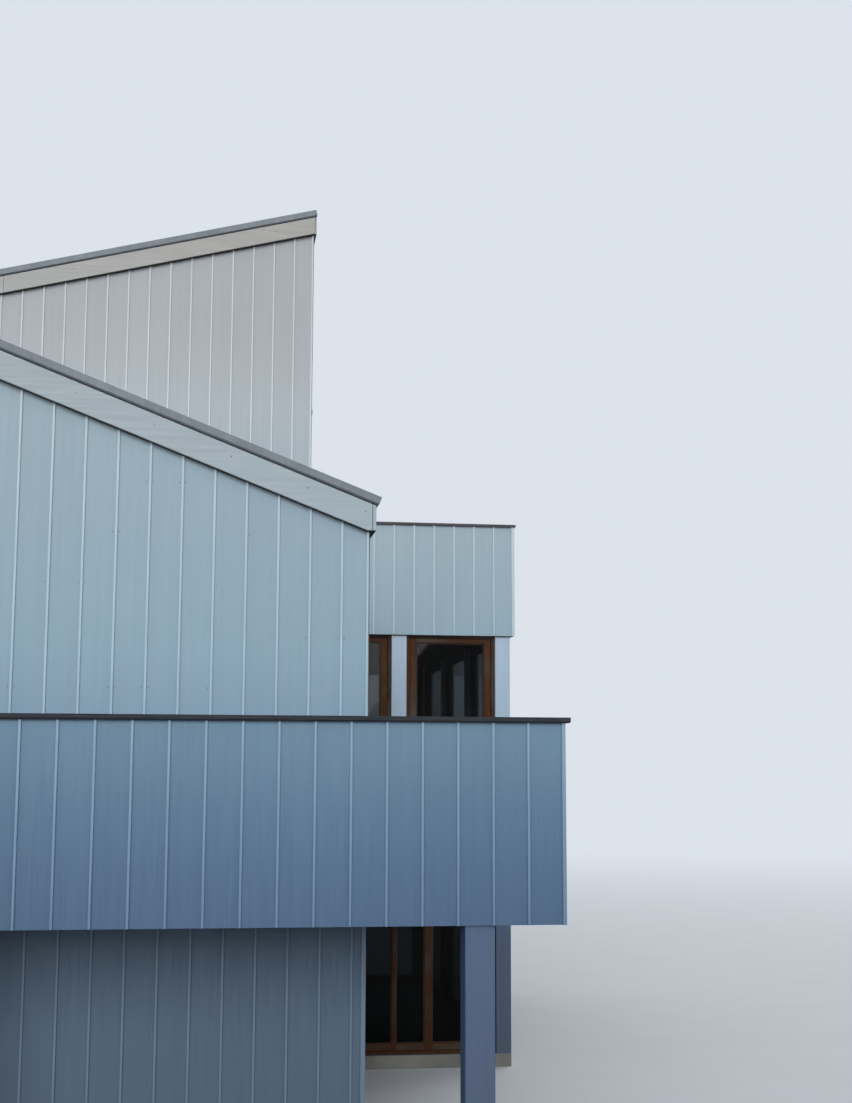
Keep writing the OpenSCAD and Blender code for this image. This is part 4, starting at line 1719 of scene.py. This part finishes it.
    def roofing_laps(self) -> None:
        """Makes the roofing sheets' laps: strips down the slope where sheets overlap."""
        h = HOUSE
        shell = Shell("roofing_laps")
        inset = self.edge_width - h.trim_pack - h.board - self.edge_over + self.joint
        edge_in = self.coping_band + self.coping_over
        roofs = []
        for line, near, away in ((h.front_line, h.front, h.middle),
                                 (h.upper_line, h.middle, h.far)):
            across = math.hypot(1.0, line.rise)
            roofs.append((sloping_up(line.below(h.edge_rise)), (h.land + inset) * across,
                          -inset * across, near, away))
        roofs.append((facing_up(h.third), self.joint, h.box - edge_in, h.middle + edge_in,
                      h.far - edge_in))
        for face, start, end, near, away in roofs:
            for y in np.arange(near + self.sheet_width, away - self.lap_width, self.sheet_width):
                shell.extrude(face, rectangle(start, end, y, y + self.lap_width), 0,
                              self.lap_rise, self.lap_rise / 2, Grain.ALONG)
        shell.make(self.finishes.roofing, Slot.ROOFING)

    def wall_flashing(self) -> None:
        """Makes the folded flashing where the front roof meets the middle wall."""
        h = HOUSE
        shell = Shell("middle_wall_flashing")
        surface = h.front_line.below(h.edge_rise)
        start = h.land + h.trim_pack + h.board + self.edge_width
        for x, rise, out, ease in (
                (start, 2 * self.flange, self.flashing_out, self.sheet),
                (start + self.edge_width, self.flashing_up, h.upper_pack + self.sheet,
                 self.sheet / 2)):
            outline = self.strip(surface, x, -self.lap_width / 2, 0, -rise)
            shell.extrude(facing_front(h.middle), outline, 0, out, ease, Grain.ALONG)
        shell.make(self.finishes.edge, Slot.EDGE_METAL)

    def coping(self) -> None:
        """Makes the box's metal coping: folded down outside, with a lip, and jointed."""
        h = HOUSE
        shell = Shell("box_coping")
        over, band, lip = self.coping_over, self.coping_band, self.coping_lip
        top, low, fall = h.box_top, h.band_top, self.coping_fall
        drip = low + self.coping_drip
        profile = np.array([[-over, low], [-over + lip, low], [-over + lip, drip], [0.0, drip],
                            [0.0, low], [band, low], [band, drip], [band + over - lip, drip],
                            [band + over - lip, low], [band + over, low],
                            [band + over, top - 2 * fall], [band + over - lip, top - fall],
                            [lip - over, top], [-over, top - fall]])
        mirrored = profile * [-1, 1]
        for outline in (profile + [h.middle, 0], mirrored + [h.far, 0]):
            shell.extrude(facing_ocean(0), outline, 0, h.box + over, 0, Grain.OUT)
        between = band + over + self.joint
        shell.extrude(facing_far(0), mirrored + [h.box, 0], h.middle + between,
                      h.far - between, 0, Grain.OUT)
        shell.make(self.finishes.coping, Slot.EDGE_METAL, ("box_caps",))

    def build(self) -> None:
        """Makes all of the roofs' pieces."""
        for make in (self.rake_boards, self.eave_boards, self.shade_strips, self.metal_edges,
                     self.roofing_laps, self.wall_flashing, self.coping):
            make()


# Deck


@dataclass
class Deck(SubAssembly):
    """Deck boards, parapet caps, columns and the box's posts.

    The cuts are the numbers, from nought, of the joists under even and odd rows' end joints.
    """

    parapet: float = 0.120
    cap_over: float = 0.052
    cap_in: float = 0.020
    cap_lip: float = 0.008
    cap_recess: float = 0.014
    cap_fall: float = 0.002
    ease: float = 0.003
    gap: float = 0.006
    board_t: float = 0.038
    boards: int = 8
    front_cuts: tuple[int, int] = (13, 7)
    gallery_cuts: tuple[int, int] = (9, 6)
    joist_width: float = 0.1
    joint: float = 0.003
    screw_in: float = 0.03
    screw_radius: float = 0.004
    screw_rise: float = 0.0005
    cladding: float = 0.019
    groove: float = 0.0025
    cap_length: float = 3.6
    cap_ease: float = 0.002

    def walk(self, name: str, node: str, width: Pair, ends: Pair, joists: Array,
             cuts: tuple[int, int], grain: Grain, screws: Shell) -> None:
        """Makes the boards of a level walk, each row in two lengths, and adds their screws.

        Args:
            name: The piece's name.
            node: The CAD node that it stands for.
            width: The walk's low and high side.
            ends: The boards' low and high end.
            joists: Places of the joists along the boards.
            cuts: Joists under the end joints of even and odd rows.
            grain: ALONG for boards that run along x, UP for those along y.
            screws: Takes the screws.
        """
        top = facing_up(HOUSE.second)
        shell = Shell(name)
        edges = np.linspace(width[0], width[1] + self.gap, self.boards + 1)
        for row, (low, high) in enumerate(zip(edges[:-1], edges[1:] - self.gap)):
            cut = joists[cuts[row % 2]]
            for start, end in ((ends[0], cut - self.joint / 2), (cut + self.joint / 2, ends[1])):
                sides = (start, end, low, high) if grain is Grain.ALONG else (low, high, start, end)
                shell.extrude(top, rectangle(*sides), -self.board_t, 0, self.ease, grain)
            for place in (low + self.screw_in, high - self.screw_in):
                spots = [joists, np.full_like(joists, place)]
                screws.heads(top, np.stack(spots if grain is Grain.ALONG else spots[::-1], axis=-1),
                             self.screw_radius, 0, self.screw_rise)
        shell.make(self.finishes.decking, Slot.DECKING, (node,))

    def decking(self) -> None:
        """Makes the deck boards and their screws, with the end joints over a joist."""
        h = HOUSE
        screws = Shell("deck_screws")
        inner = h.gallery - self.parapet
        joists = solids_of("deck_joists")
        slim = joists[:, 1, 0] - joists[:, 0, 0] < self.joist_width
        self.walk("front_deck_boards", "deck_floor", (self.parapet, h.front),
                  (h.land + self.parapet, inner), joists[slim].mean(axis=1)[:, 0],
                  self.front_cuts, Grain.ALONG, screws)
        self.walk("gallery_deck_boards", "gallery_floor", (0.0, inner),
                  (h.front + self.joint, float(house_box("gallery_floor")[1][1])),
                  joists[~slim].mean(axis=1)[:, 1], self.gallery_cuts, Grain.UP, screws)
        screws.make(self.finishes.screws, Slot.DECKING)

    def cap_profile(self) -> Array:
        """A cap across the parapet: a board with a lip over a set back packing.

        Returns:
            Its outline.
        """
        low, top = HOUSE.parapet_top, HOUSE.parapet_top + self.board_t
        out, back = -self.cap_over, self.parapet + self.cap_in
        rest, lip, ease, fall = self.cap_recess, self.cap_lip, self.ease, self.cap_fall
        return np.array([[out + rest, low], [back - rest, low], [back - rest, low + lip],
                         [back, low + lip], [back, top - ease - fall], [back - ease, top - fall],
                         [out + ease, top], [out, top - ease], [out, low + lip],
                         [out + rest, low + lip]])

    def lengths(self, start: float, end: float) -> list[Pair]:
        """Splits a run into cap boards with joints between them.

        Args:
            start: The run's start.
            end: Its end.

        Returns:
            The boards' starts and ends.
        """
        cuts = np.linspace(start, end, max(1, round((end - start) / self.cap_length)) + 1)
        half = self.joint / 2
        return [(low + (half if low > start else 0), high - (half if high < end else 0))
                for low, high in zip(cuts[:-1], cuts[1:])]

    def caps(self) -> None:
        """Makes the parapets' caps in lengths, the front one lapping the two others."""
        h = HOUSE
        shell = Shell("parapet_caps")
        profile = self.cap_profile()
        for start, end in self.lengths(h.land - self.cap_over, h.gallery + self.cap_over):
            shell.extrude(facing_ocean(0), profile, start, end, self.cap_ease, Grain.OUT)
        behind = self.parapet + self.cap_in + self.joint
        ocean = profile * [-1, 1] + [h.gallery, 0]
        for start, end in self.lengths(behind, float(house_box("ocean_parapet")[1][1])):
            shell.extrude(facing_far(0), ocean, start, end, 0, Grain.OUT)
        shell.extrude(facing_far(0), profile + [h.land, 0], behind, h.front, 0, Grain.OUT)
        shell.make(self.finishes.cap, Slot.CAP, ("deck_caps",))

    def boxed(self, low: Array, high: Array) -> Array:
        """Plan of a boxed post: eased corners and a groove where the side boards meet.

        Args:
            low: Lowest corner of the post in plan.
            high: Highest corner.

        Returns:
            The outline.
        """
        ease, t, g = self.ease, self.cladding, self.groove
        x0, y0, x1, y1 = *low, *high
        return np.array([
            [x0 + ease, y0], [x1 - ease, y0], [x1, y0 + ease],
            [x1, y0 + t - g], [x1 - g, y0 + t], [x1, y0 + t + g],
            [x1, y1 - t - g], [x1 - g, y1 - t], [x1, y1 - t + g],
            [x1, y1 - ease], [x1 - ease, y1], [x0 + ease, y1], [x0, y1 - ease],
            [x0, y1 - t + g], [x0 + g, y1 - t], [x0, y1 - t - g],
            [x0, y0 + t + g], [x0 + g, y0 + t], [x0, y0 + t - g], [x0, y0 + ease]])

    def posts(self) -> None:
        """Makes the deck's columns and the box's posts as boxed timber."""
        for name, node in (("boxed_deck_columns", "deck_columns"), ("boxed_box_posts", "box_posts")):
            shell = Shell(name)
            for low, high in solids_of(node):
                shell.extrude(facing_up(0), self.boxed(low[:2], high[:2]), float(low[2]),
                              float(high[2]), 0, Grain.OUT)
            shell.make(self.finishes.posts, Slot.POSTS, (node,))

    def build(self) -> None:
        """Makes all of the deck's pieces."""
        for make in (self.decking, self.caps, self.posts):
            make()


# Windows and the door


@dataclass
class TimberWindow:
    """One glazed unit: jambs, head and sill, a set back sash round each light, and beads."""

    face: Face
    lights: list[Pair]
    low: float
    high: float
    stile: float = 0.125
    head_rail: float = 0.085
    jamb: float = 0.045
    head: float = 0.032
    gap: float = 0.003
    back: float = -0.130
    front: float = -0.040
    sash_back: float = -0.124
    sash_front: float = -0.054
    glass_front: float = -0.073
    glass_back: float = -0.097
    bead: float = 0.012
    bead_back: float = 0.002
    bead_share: float = 0.45
    rubber: float = 0.006
    rubber_share: float = 0.25
    seal: float = 0.014
    ease: float = 0.003

    def boards(self, timber: Shell, outlines: list[tuple], depths: Pair, grain: Grain) -> None:
        """Adds boards to the unit.

        Args:
            timber: Takes the boards.
            outlines: Their low and high sides along and up the face.
            depths: Height of their backs and of their fronts.
            grain: Direction of their grain.
        """
        for sides in outlines:
            timber.extrude(self.face, rectangle(*sides), *depths, self.ease, grain)

    def beads(self, timber: Shell, rubber: Shell, light: Array) -> None:
        """Adds the sloped beads and the rubber strips on both sides of a light's glass.

        Args:
            timber: Takes the beads.
            rubber: Takes the strips.
            light: The light's outline.
        """
        width, share = self.bead, self.bead_share
        inner = width + self.rubber
        for glass, edge in ((self.glass_front, self.sash_front - self.bead_back),
                            (self.glass_back, self.sash_back + self.bead_back)):
            timber.carry(self.face, light,
                         [[0, glass], [width, glass], [width, glass + (edge - glass) * share],
                          [width * share, edge], [0, edge]])
            lift = glass + (edge - glass) * self.rubber_share
            rubber.carry(self.face, light,
                         [[width, glass], [inner, glass], [inner, lift], [width, lift]])

    def build(self, timber: Shell, rubber: Shell) -> None:
        """Adds the unit's boards, beads and rubber strips.

        Args:
            timber: Takes the boards and beads.
            rubber: Takes the glazing strips.
        """
        left, right = self.lights[0][0] - self.stile, self.lights[-1][1] + self.stile
        foot, top = self.low - self.stile, self.high + self.head_rail
        start, end = left + self.jamb, right - self.jamb
        frame_depths, sash_depths = (self.back, self.front), (self.sash_back, self.sash_front)
        self.boards(timber, [(left, start, foot, top), (end, right, foot, top)], frame_depths,
                    Grain.UP)
        self.boards(timber, [(start, end, top - self.head, top),
                             (start, end, foot, foot + self.jamb)], frame_depths, Grain.ALONG)
        sealed = self.front + self.gap
        rubber.carry(self.face, rectangle(left, right, foot, top),
                     [[0, self.front], [self.seal, self.front], [self.seal, sealed], [0, sealed]])
        sash_foot, sash_top = foot + self.jamb + self.gap, top - self.head - self.gap
        before, last = start + self.gap, end - self.gap
        for low, high in self.lights:
            stiles = [(before, low, sash_foot, sash_top)]
            if high == self.lights[-1][1]:
                stiles.append((high, last, sash_foot, sash_top))
            self.boards(timber, stiles, sash_depths, Grain.UP)
            self.boards(timber, [(low, high, sash_foot, self.low),
                                 (low, high, self.high, sash_top)], sash_depths, Grain.ALONG)
            self.beads(timber, rubber, rectangle(low, high, self.low, self.high))
            before = high


@dataclass
class Glazing(SubAssembly):
    """All the timber windows, worked out from the CAD panes."""

    panes: dict[Storey, Array]
    same_unit: float = 0.15
    same_level: float = 0.01
    pane_to_face: float = 0.085

    def face_of(self, pane: Array) -> tuple[Face, int]:
        """The wall face in front of a pane.

        Args:
            pane: Lowest and highest corner of the pane.

        Returns:
            The face, and the axis that the unit runs along.
        """
        centre, size = pane.mean(axis=0), pane[1] - pane[0]
        if size[0] < size[1]:
            if centre[0] > HOUSE.land / 2:
                return facing_ocean(centre[0] + self.pane_to_face), 1
            return facing_land(centre[0] - self.pane_to_face), 1
        if centre[1] > (HOUSE.middle + HOUSE.far) / 2:
            return facing_far(centre[1] + self.pane_to_face), 0
        return facing_front(centre[1] - self.pane_to_face), 0

    def units(self, panes: Array) -> list[TimberWindow]:
        """Joins panes that a bar parts into units.

        Args:
            panes: Boxes of a storey's panes.

        Returns:
            The units.
        """
        found: list[TimberWindow] = []
        for pane in sorted(panes, key=lambda box: tuple(box[0].round(2)[[2, 0, 1]])):
            face, axis = self.face_of(pane)
            low, high = pane[0][axis], pane[1][axis]
            for unit in found:
                if (unit.face == face and abs(unit.low - pane[0][2]) < self.same_level
                        and 0 < low - unit.lights[-1][1] < self.same_unit):
                    unit.lights.append((low, high))
                    break
            else:
                found.append(TimberWindow(face, [(low, high)], pane[0][2], pane[1][2]))
        return found

    def build(self) -> None:
        """Makes each storey's frames and glazing strips, and gives the panes their glass."""
        rubber = Shell("glazing_strips")
        for storey, panes in self.panes.items():
            timber = Shell(f"{storey.value}_timber_windows")
            for unit in self.units(panes):
                unit.build(timber, rubber)
            timber.make(self.finishes.cedar, Slot.WINDOW, (f"{storey.value}_window_frames",))
            # The ground floor's panes take the deeper tint as painted shade under the deck.
            cover(f"{storey.value}_glass", self.finishes.dark_glass if storey is Storey.GROUND
                  else self.finishes.glass)
        rubber.make(self.finishes.rubber, Slot.WINDOW)


@dataclass
class EntryDoor(SubAssembly):
    """The boarded entry door in the land wall, with its frame, handle and hinges.

    The plate's and the lever's sides are measured from the handle's centre.
    """

    boards: int = 7
    joint: float = 0.0015
    ease: float = 0.003
    back_share: float = 0.55
    jamb: float = 0.045
    handle_height: float = 1.0
    handle_in: float = 0.065
    plate: tuple[float, ...] = (-0.02, 0.02, -0.11, 0.11)
    plate_out: Pair = (0.0, 0.006)
    lever: tuple[float, ...] = (-0.010, 0.125, 0.040, 0.060)
    lever_out: Pair = (0.038, 0.052)
    lever_ease: float = 0.004
    neck_up: float = 0.05
    neck_radius: float = 0.011
    neck_out: Pair = (0.005, 0.050)
    metal_ease: float = 0.002
    round_sides: int = 12
    hinge_shares: tuple[float, ...] = (0.1, 0.5, 0.9)
    hinge_radius: float = 0.008
    hinge_out: float = 0.002
    hinge_beside: float = 0.0015
    hinge_half: float = 0.05

    def build(self) -> None:
        """Makes the door from upright boards on a panel, its frame, its handle and hinges."""
        low, high = house_box("entry_door")
        face = facing_land(float(low[0]))
        depth = float(high[0] - low[0])
        panel = -depth * (1 - self.back_share)
        door = Shell("entry_door_boards")
        door.extrude(face, rectangle(low[1], high[1], low[2], high[2]), -depth, panel)
        edges = np.linspace(low[1], high[1] + self.joint, self.boards + 1)
        outlines = np.array([rectangle(start, end - self.joint, low[2], high[2])
                             for start, end in zip(edges[:-1], edges[1:])])
        door.extrude(face, outlines, panel, 0, self.ease)
        door.make(self.finishes.door, Slot.DOOR, ("entry_door",))
        (near, start, foot), (away, end, top) = house_box("entry_frame")
        face = facing_land(float(near))
        jamb = self.jamb
        shell = Shell("entry_frame_boards")
        for sides, grain in (((start, start + jamb, foot, top), Grain.UP),
                             ((end - jamb, end, foot, top), Grain.UP),
                             ((start + jamb, end - jamb, top - jamb, top), Grain.ALONG)):
            shell.extrude(face, rectangle(*sides), -float(away - near), 0, self.ease, grain)
        shell.make(self.finishes.cedar, Slot.WINDOW, ("entry_frame",))
        self.metal(face, low, high)

    def metal(self, face: Face, low: Array, high: Array) -> None:
        """Makes the handle on its plate and three hinge knuckles.

        Args:
            face: The frame's face.
            low: Lowest corner of the door.
            high: Highest corner.
        """
        metal = Shell("entry_door_handle")
        y, z = float(low[1]) + self.handle_in, float(low[2]) + self.handle_height
        ease = self.metal_ease
        metal.extrude(face, rectangle(*self.plate) + [y, z], *self.plate_out, ease)
        neck = circle(self.round_sides, self.neck_radius) + [y, z + self.neck_up]
        metal.extrude(face, neck, *self.neck_out, ease)
        metal.extrude(face, rectangle(*self.lever) + [y, z], *self.lever_out, self.lever_ease)
        knuckle = circle(self.round_sides, self.hinge_radius) + [
            face.origin[0] - self.hinge_out, float(high[1]) + self.hinge_beside]
        for share in self.hinge_shares:
            centre = float(low[2]) + share * float(high[2] - low[2])
            metal.extrude(facing_up(0), knuckle, centre - self.hinge_half,
                          centre + self.hinge_half, ease)
        metal.make(self.finishes.handle, Slot.EDGE_METAL)


# Studio


@dataclass
class Studio:
    """Camera, lamps, floor and background.

    A lamp is its strength, its width in degrees and the direction that it shines from.
    """

    eye: tuple[float, float, float] = (-1.3174, -11.363, 3.461)
    yaw: float = 8.0754
    pitch: float = 7.8856
    roll: float = 0.17806
    focal_pixels: float = 1604.857
    picture_height: float = 1103.0
    sensor: float = 36.0
    clip: float = 500.0
    key: tuple[float, float, tuple] = (2.0, 40.0, (-0.14, -0.95, 0.28))
    fill: tuple[float, float, tuple] = (0.9, 40.0, (0.60, 0.70, 0.42))
    sky: str = "#F4F6F8"
    sky_strength: float = 0.62
    backdrop: str = "#DCE3EA"
    floor: str = "#CFD4D9"
    bounce: str = "#343734"
    floor_radius: float = 400.0
    floor_sides: int = 96
    floor_level: float = -0.002
    fade: Pair = (12.0, 60.0)
    mottle: Pattern = Pattern(900, detail=2.0)
    mottle_share: Pair = (0.0, 0.15)

    def camera(self) -> None:
        """Adds the camera: turned right by the yaw, up by the pitch and round by the roll."""
        yaw, pitch, roll = (math.radians(value) for value in (self.yaw, self.pitch, self.roll))
        ahead = np.array([math.sin(yaw) * math.cos(pitch), math.cos(yaw) * math.cos(pitch),
                          math.sin(pitch)])
        level = np.array([math.cos(yaw), -math.sin(yaw), 0.0])
        upright = np.cross(level, ahead)
        right = math.cos(roll) * level + math.sin(roll) * upright
        above = math.cos(roll) * upright - math.sin(roll) * level
        data = bpy.data.cameras.new("camera")
        data.sensor_width = self.sensor
        data.lens = self.focal_pixels * self.sensor / self.picture_height
        data.clip_end = self.clip
        camera = add_object("camera", data)
        camera.matrix_world = (Matrix.Translation((ORIGIN + np.array(self.eye)).tolist())
                               @ turned(right, above, -ahead))
        bpy.context.scene.camera = camera

    def sun(self, name: str, energy: float, width: float, source: tuple) -> None:
        """Adds a wide, soft sun.

        Args:
            name: The lamp's name.
            energy: Its strength.
            width: Its width in degrees.
            source: Direction that it shines from.
        """
        light = bpy.data.lights.new(name, "SUN")
        light.energy = energy
        light.angle = math.radians(width)
        back = np.array(source) / np.linalg.norm(source)
        side = np.cross([0, 0, 1.0], back)
        side /= np.linalg.norm(side)
        add_object(name, light).matrix_world = turned(side, np.cross(back, side), back)

    def seen(self, graph: Graph) -> Socket:
        """One for camera, glossy and transmission rays, and nought for those that light.

        Args:
            graph: The tree that takes the nodes.

        Returns:
            The value.
        """
        share = graph.add("LightPath", out="Is Camera Ray")
        outputs = share.node.outputs
        for name in ("Is Glossy Ray", "Is Transmission Ray"):
            share = graph.add("Math", (share, outputs[name]), operation="MAXIMUM")
        return share

    def world(self) -> None:
        """Adds a pale even sky that lights the house, seen as the backdrop's colour."""
        world = bpy.data.worlds.new("studio")
        world.use_nodes = True
        graph = Graph(world.node_tree)
        light = graph.add("Background", (linear(self.sky), self.sky_strength))
        behind = graph.add("Background", (linear(self.backdrop), 1.0))
        graph.add("OutputWorld", (graph.add("MixShader", (self.seen(graph), light, behind)),))
        bpy.context.scene.world = world

    def floor_finish(self) -> Material:
        """Makes the floor's finish: matt and a little mottled, and it fades to the backdrop.

        Light that the floor throws back is dim, so that the house's underside stays dark.

        Returns:
            The material.
        """
        material = bpy.data.materials.new("studio_floor")
        material.use_nodes = True
        graph = Graph(material.node_tree)
        place = graph.add("TexCoord", out="Object")
        radius = graph.add("VectorMath", (place,), "Value", operation="LENGTH")
        away = graph.add("MapRange", (radius, *self.fade), interpolation_type="SMOOTHSTEP")
        seen = self.seen(graph)
        colour = graph.add("Mix", {0: self.mottle.over(graph, place, *self.mottle_share),
                                   6: linear(self.floor), 7: linear(self.backdrop)}, **COLOURS)
        colour = graph.add("Mix", {0: seen, 6: linear(self.bounce), 7: colour}, **COLOURS)
        matt = graph.add("BsdfDiffuse", (colour,))
        behind = graph.add("Emission", (linear(self.backdrop), 1.0))
        share = graph.add("Math", (away, seen), operation="MULTIPLY")
        graph.add("OutputMaterial", (graph.add("MixShader", (share, matt, behind)),))
        return material

    def ground(self) -> None:
        """Adds the floor: a disc that keeps the shadow near the house."""
        rim = np.column_stack([circle(self.floor_sides, self.floor_radius),
                               np.full(self.floor_sides, self.floor_level)])
        mesh = bpy.data.meshes.new("floor")
        mesh.from_pydata(rim.tolist(), [], [list(range(len(rim)))])
        mesh.materials.append(self.floor_finish())
        floor = add_object("floor", mesh)

    def build(self) -> None:
        """Sets up the studio."""
        self.camera()
        self.sun("key", *self.key)
        self.sun("fill", *self.fill)
        self.world()
        self.ground()
        bpy.context.scene.view_settings.view_transform = "Standard"


def dress_nodes(finishes: Finishes) -> None:
    """Gives the CAD nodes that stay as they are their finishes.

    Args:
        finishes: The house's finishes.
    """
    for material, nodes in (
            (finishes.concrete, ("ground_slabs",)),
            (finishes.floor_timber, ("second_floor", "upper_floor")),
            (finishes.framing, ("box_beams", "deck_joists", "deck_beams")),
            (finishes.roofing, ("terrace_roof", "front_roof", "upper_roof")),
            (finishes.rim, ("box_rim_beams",))):
        for node in nodes:
            cover(node, material)


def main() -> None:
    """Builds the house's pieces in order."""
    logging.basicConfig(level=logging.INFO, format="%(message)s")
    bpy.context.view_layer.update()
    finishes = Finishes()
    panes = {storey: solids_of(f"{storey.value}_glass") for storey in Storey}
    Cladding(finishes, panes).build()
    RoofTrim(finishes).build()
    Deck(finishes).build()
    Glazing(finishes, panes).build()
    EntryDoor(finishes).build()
    dress_nodes(finishes)
    Studio().build()


if __name__ == "__main__":
    main()
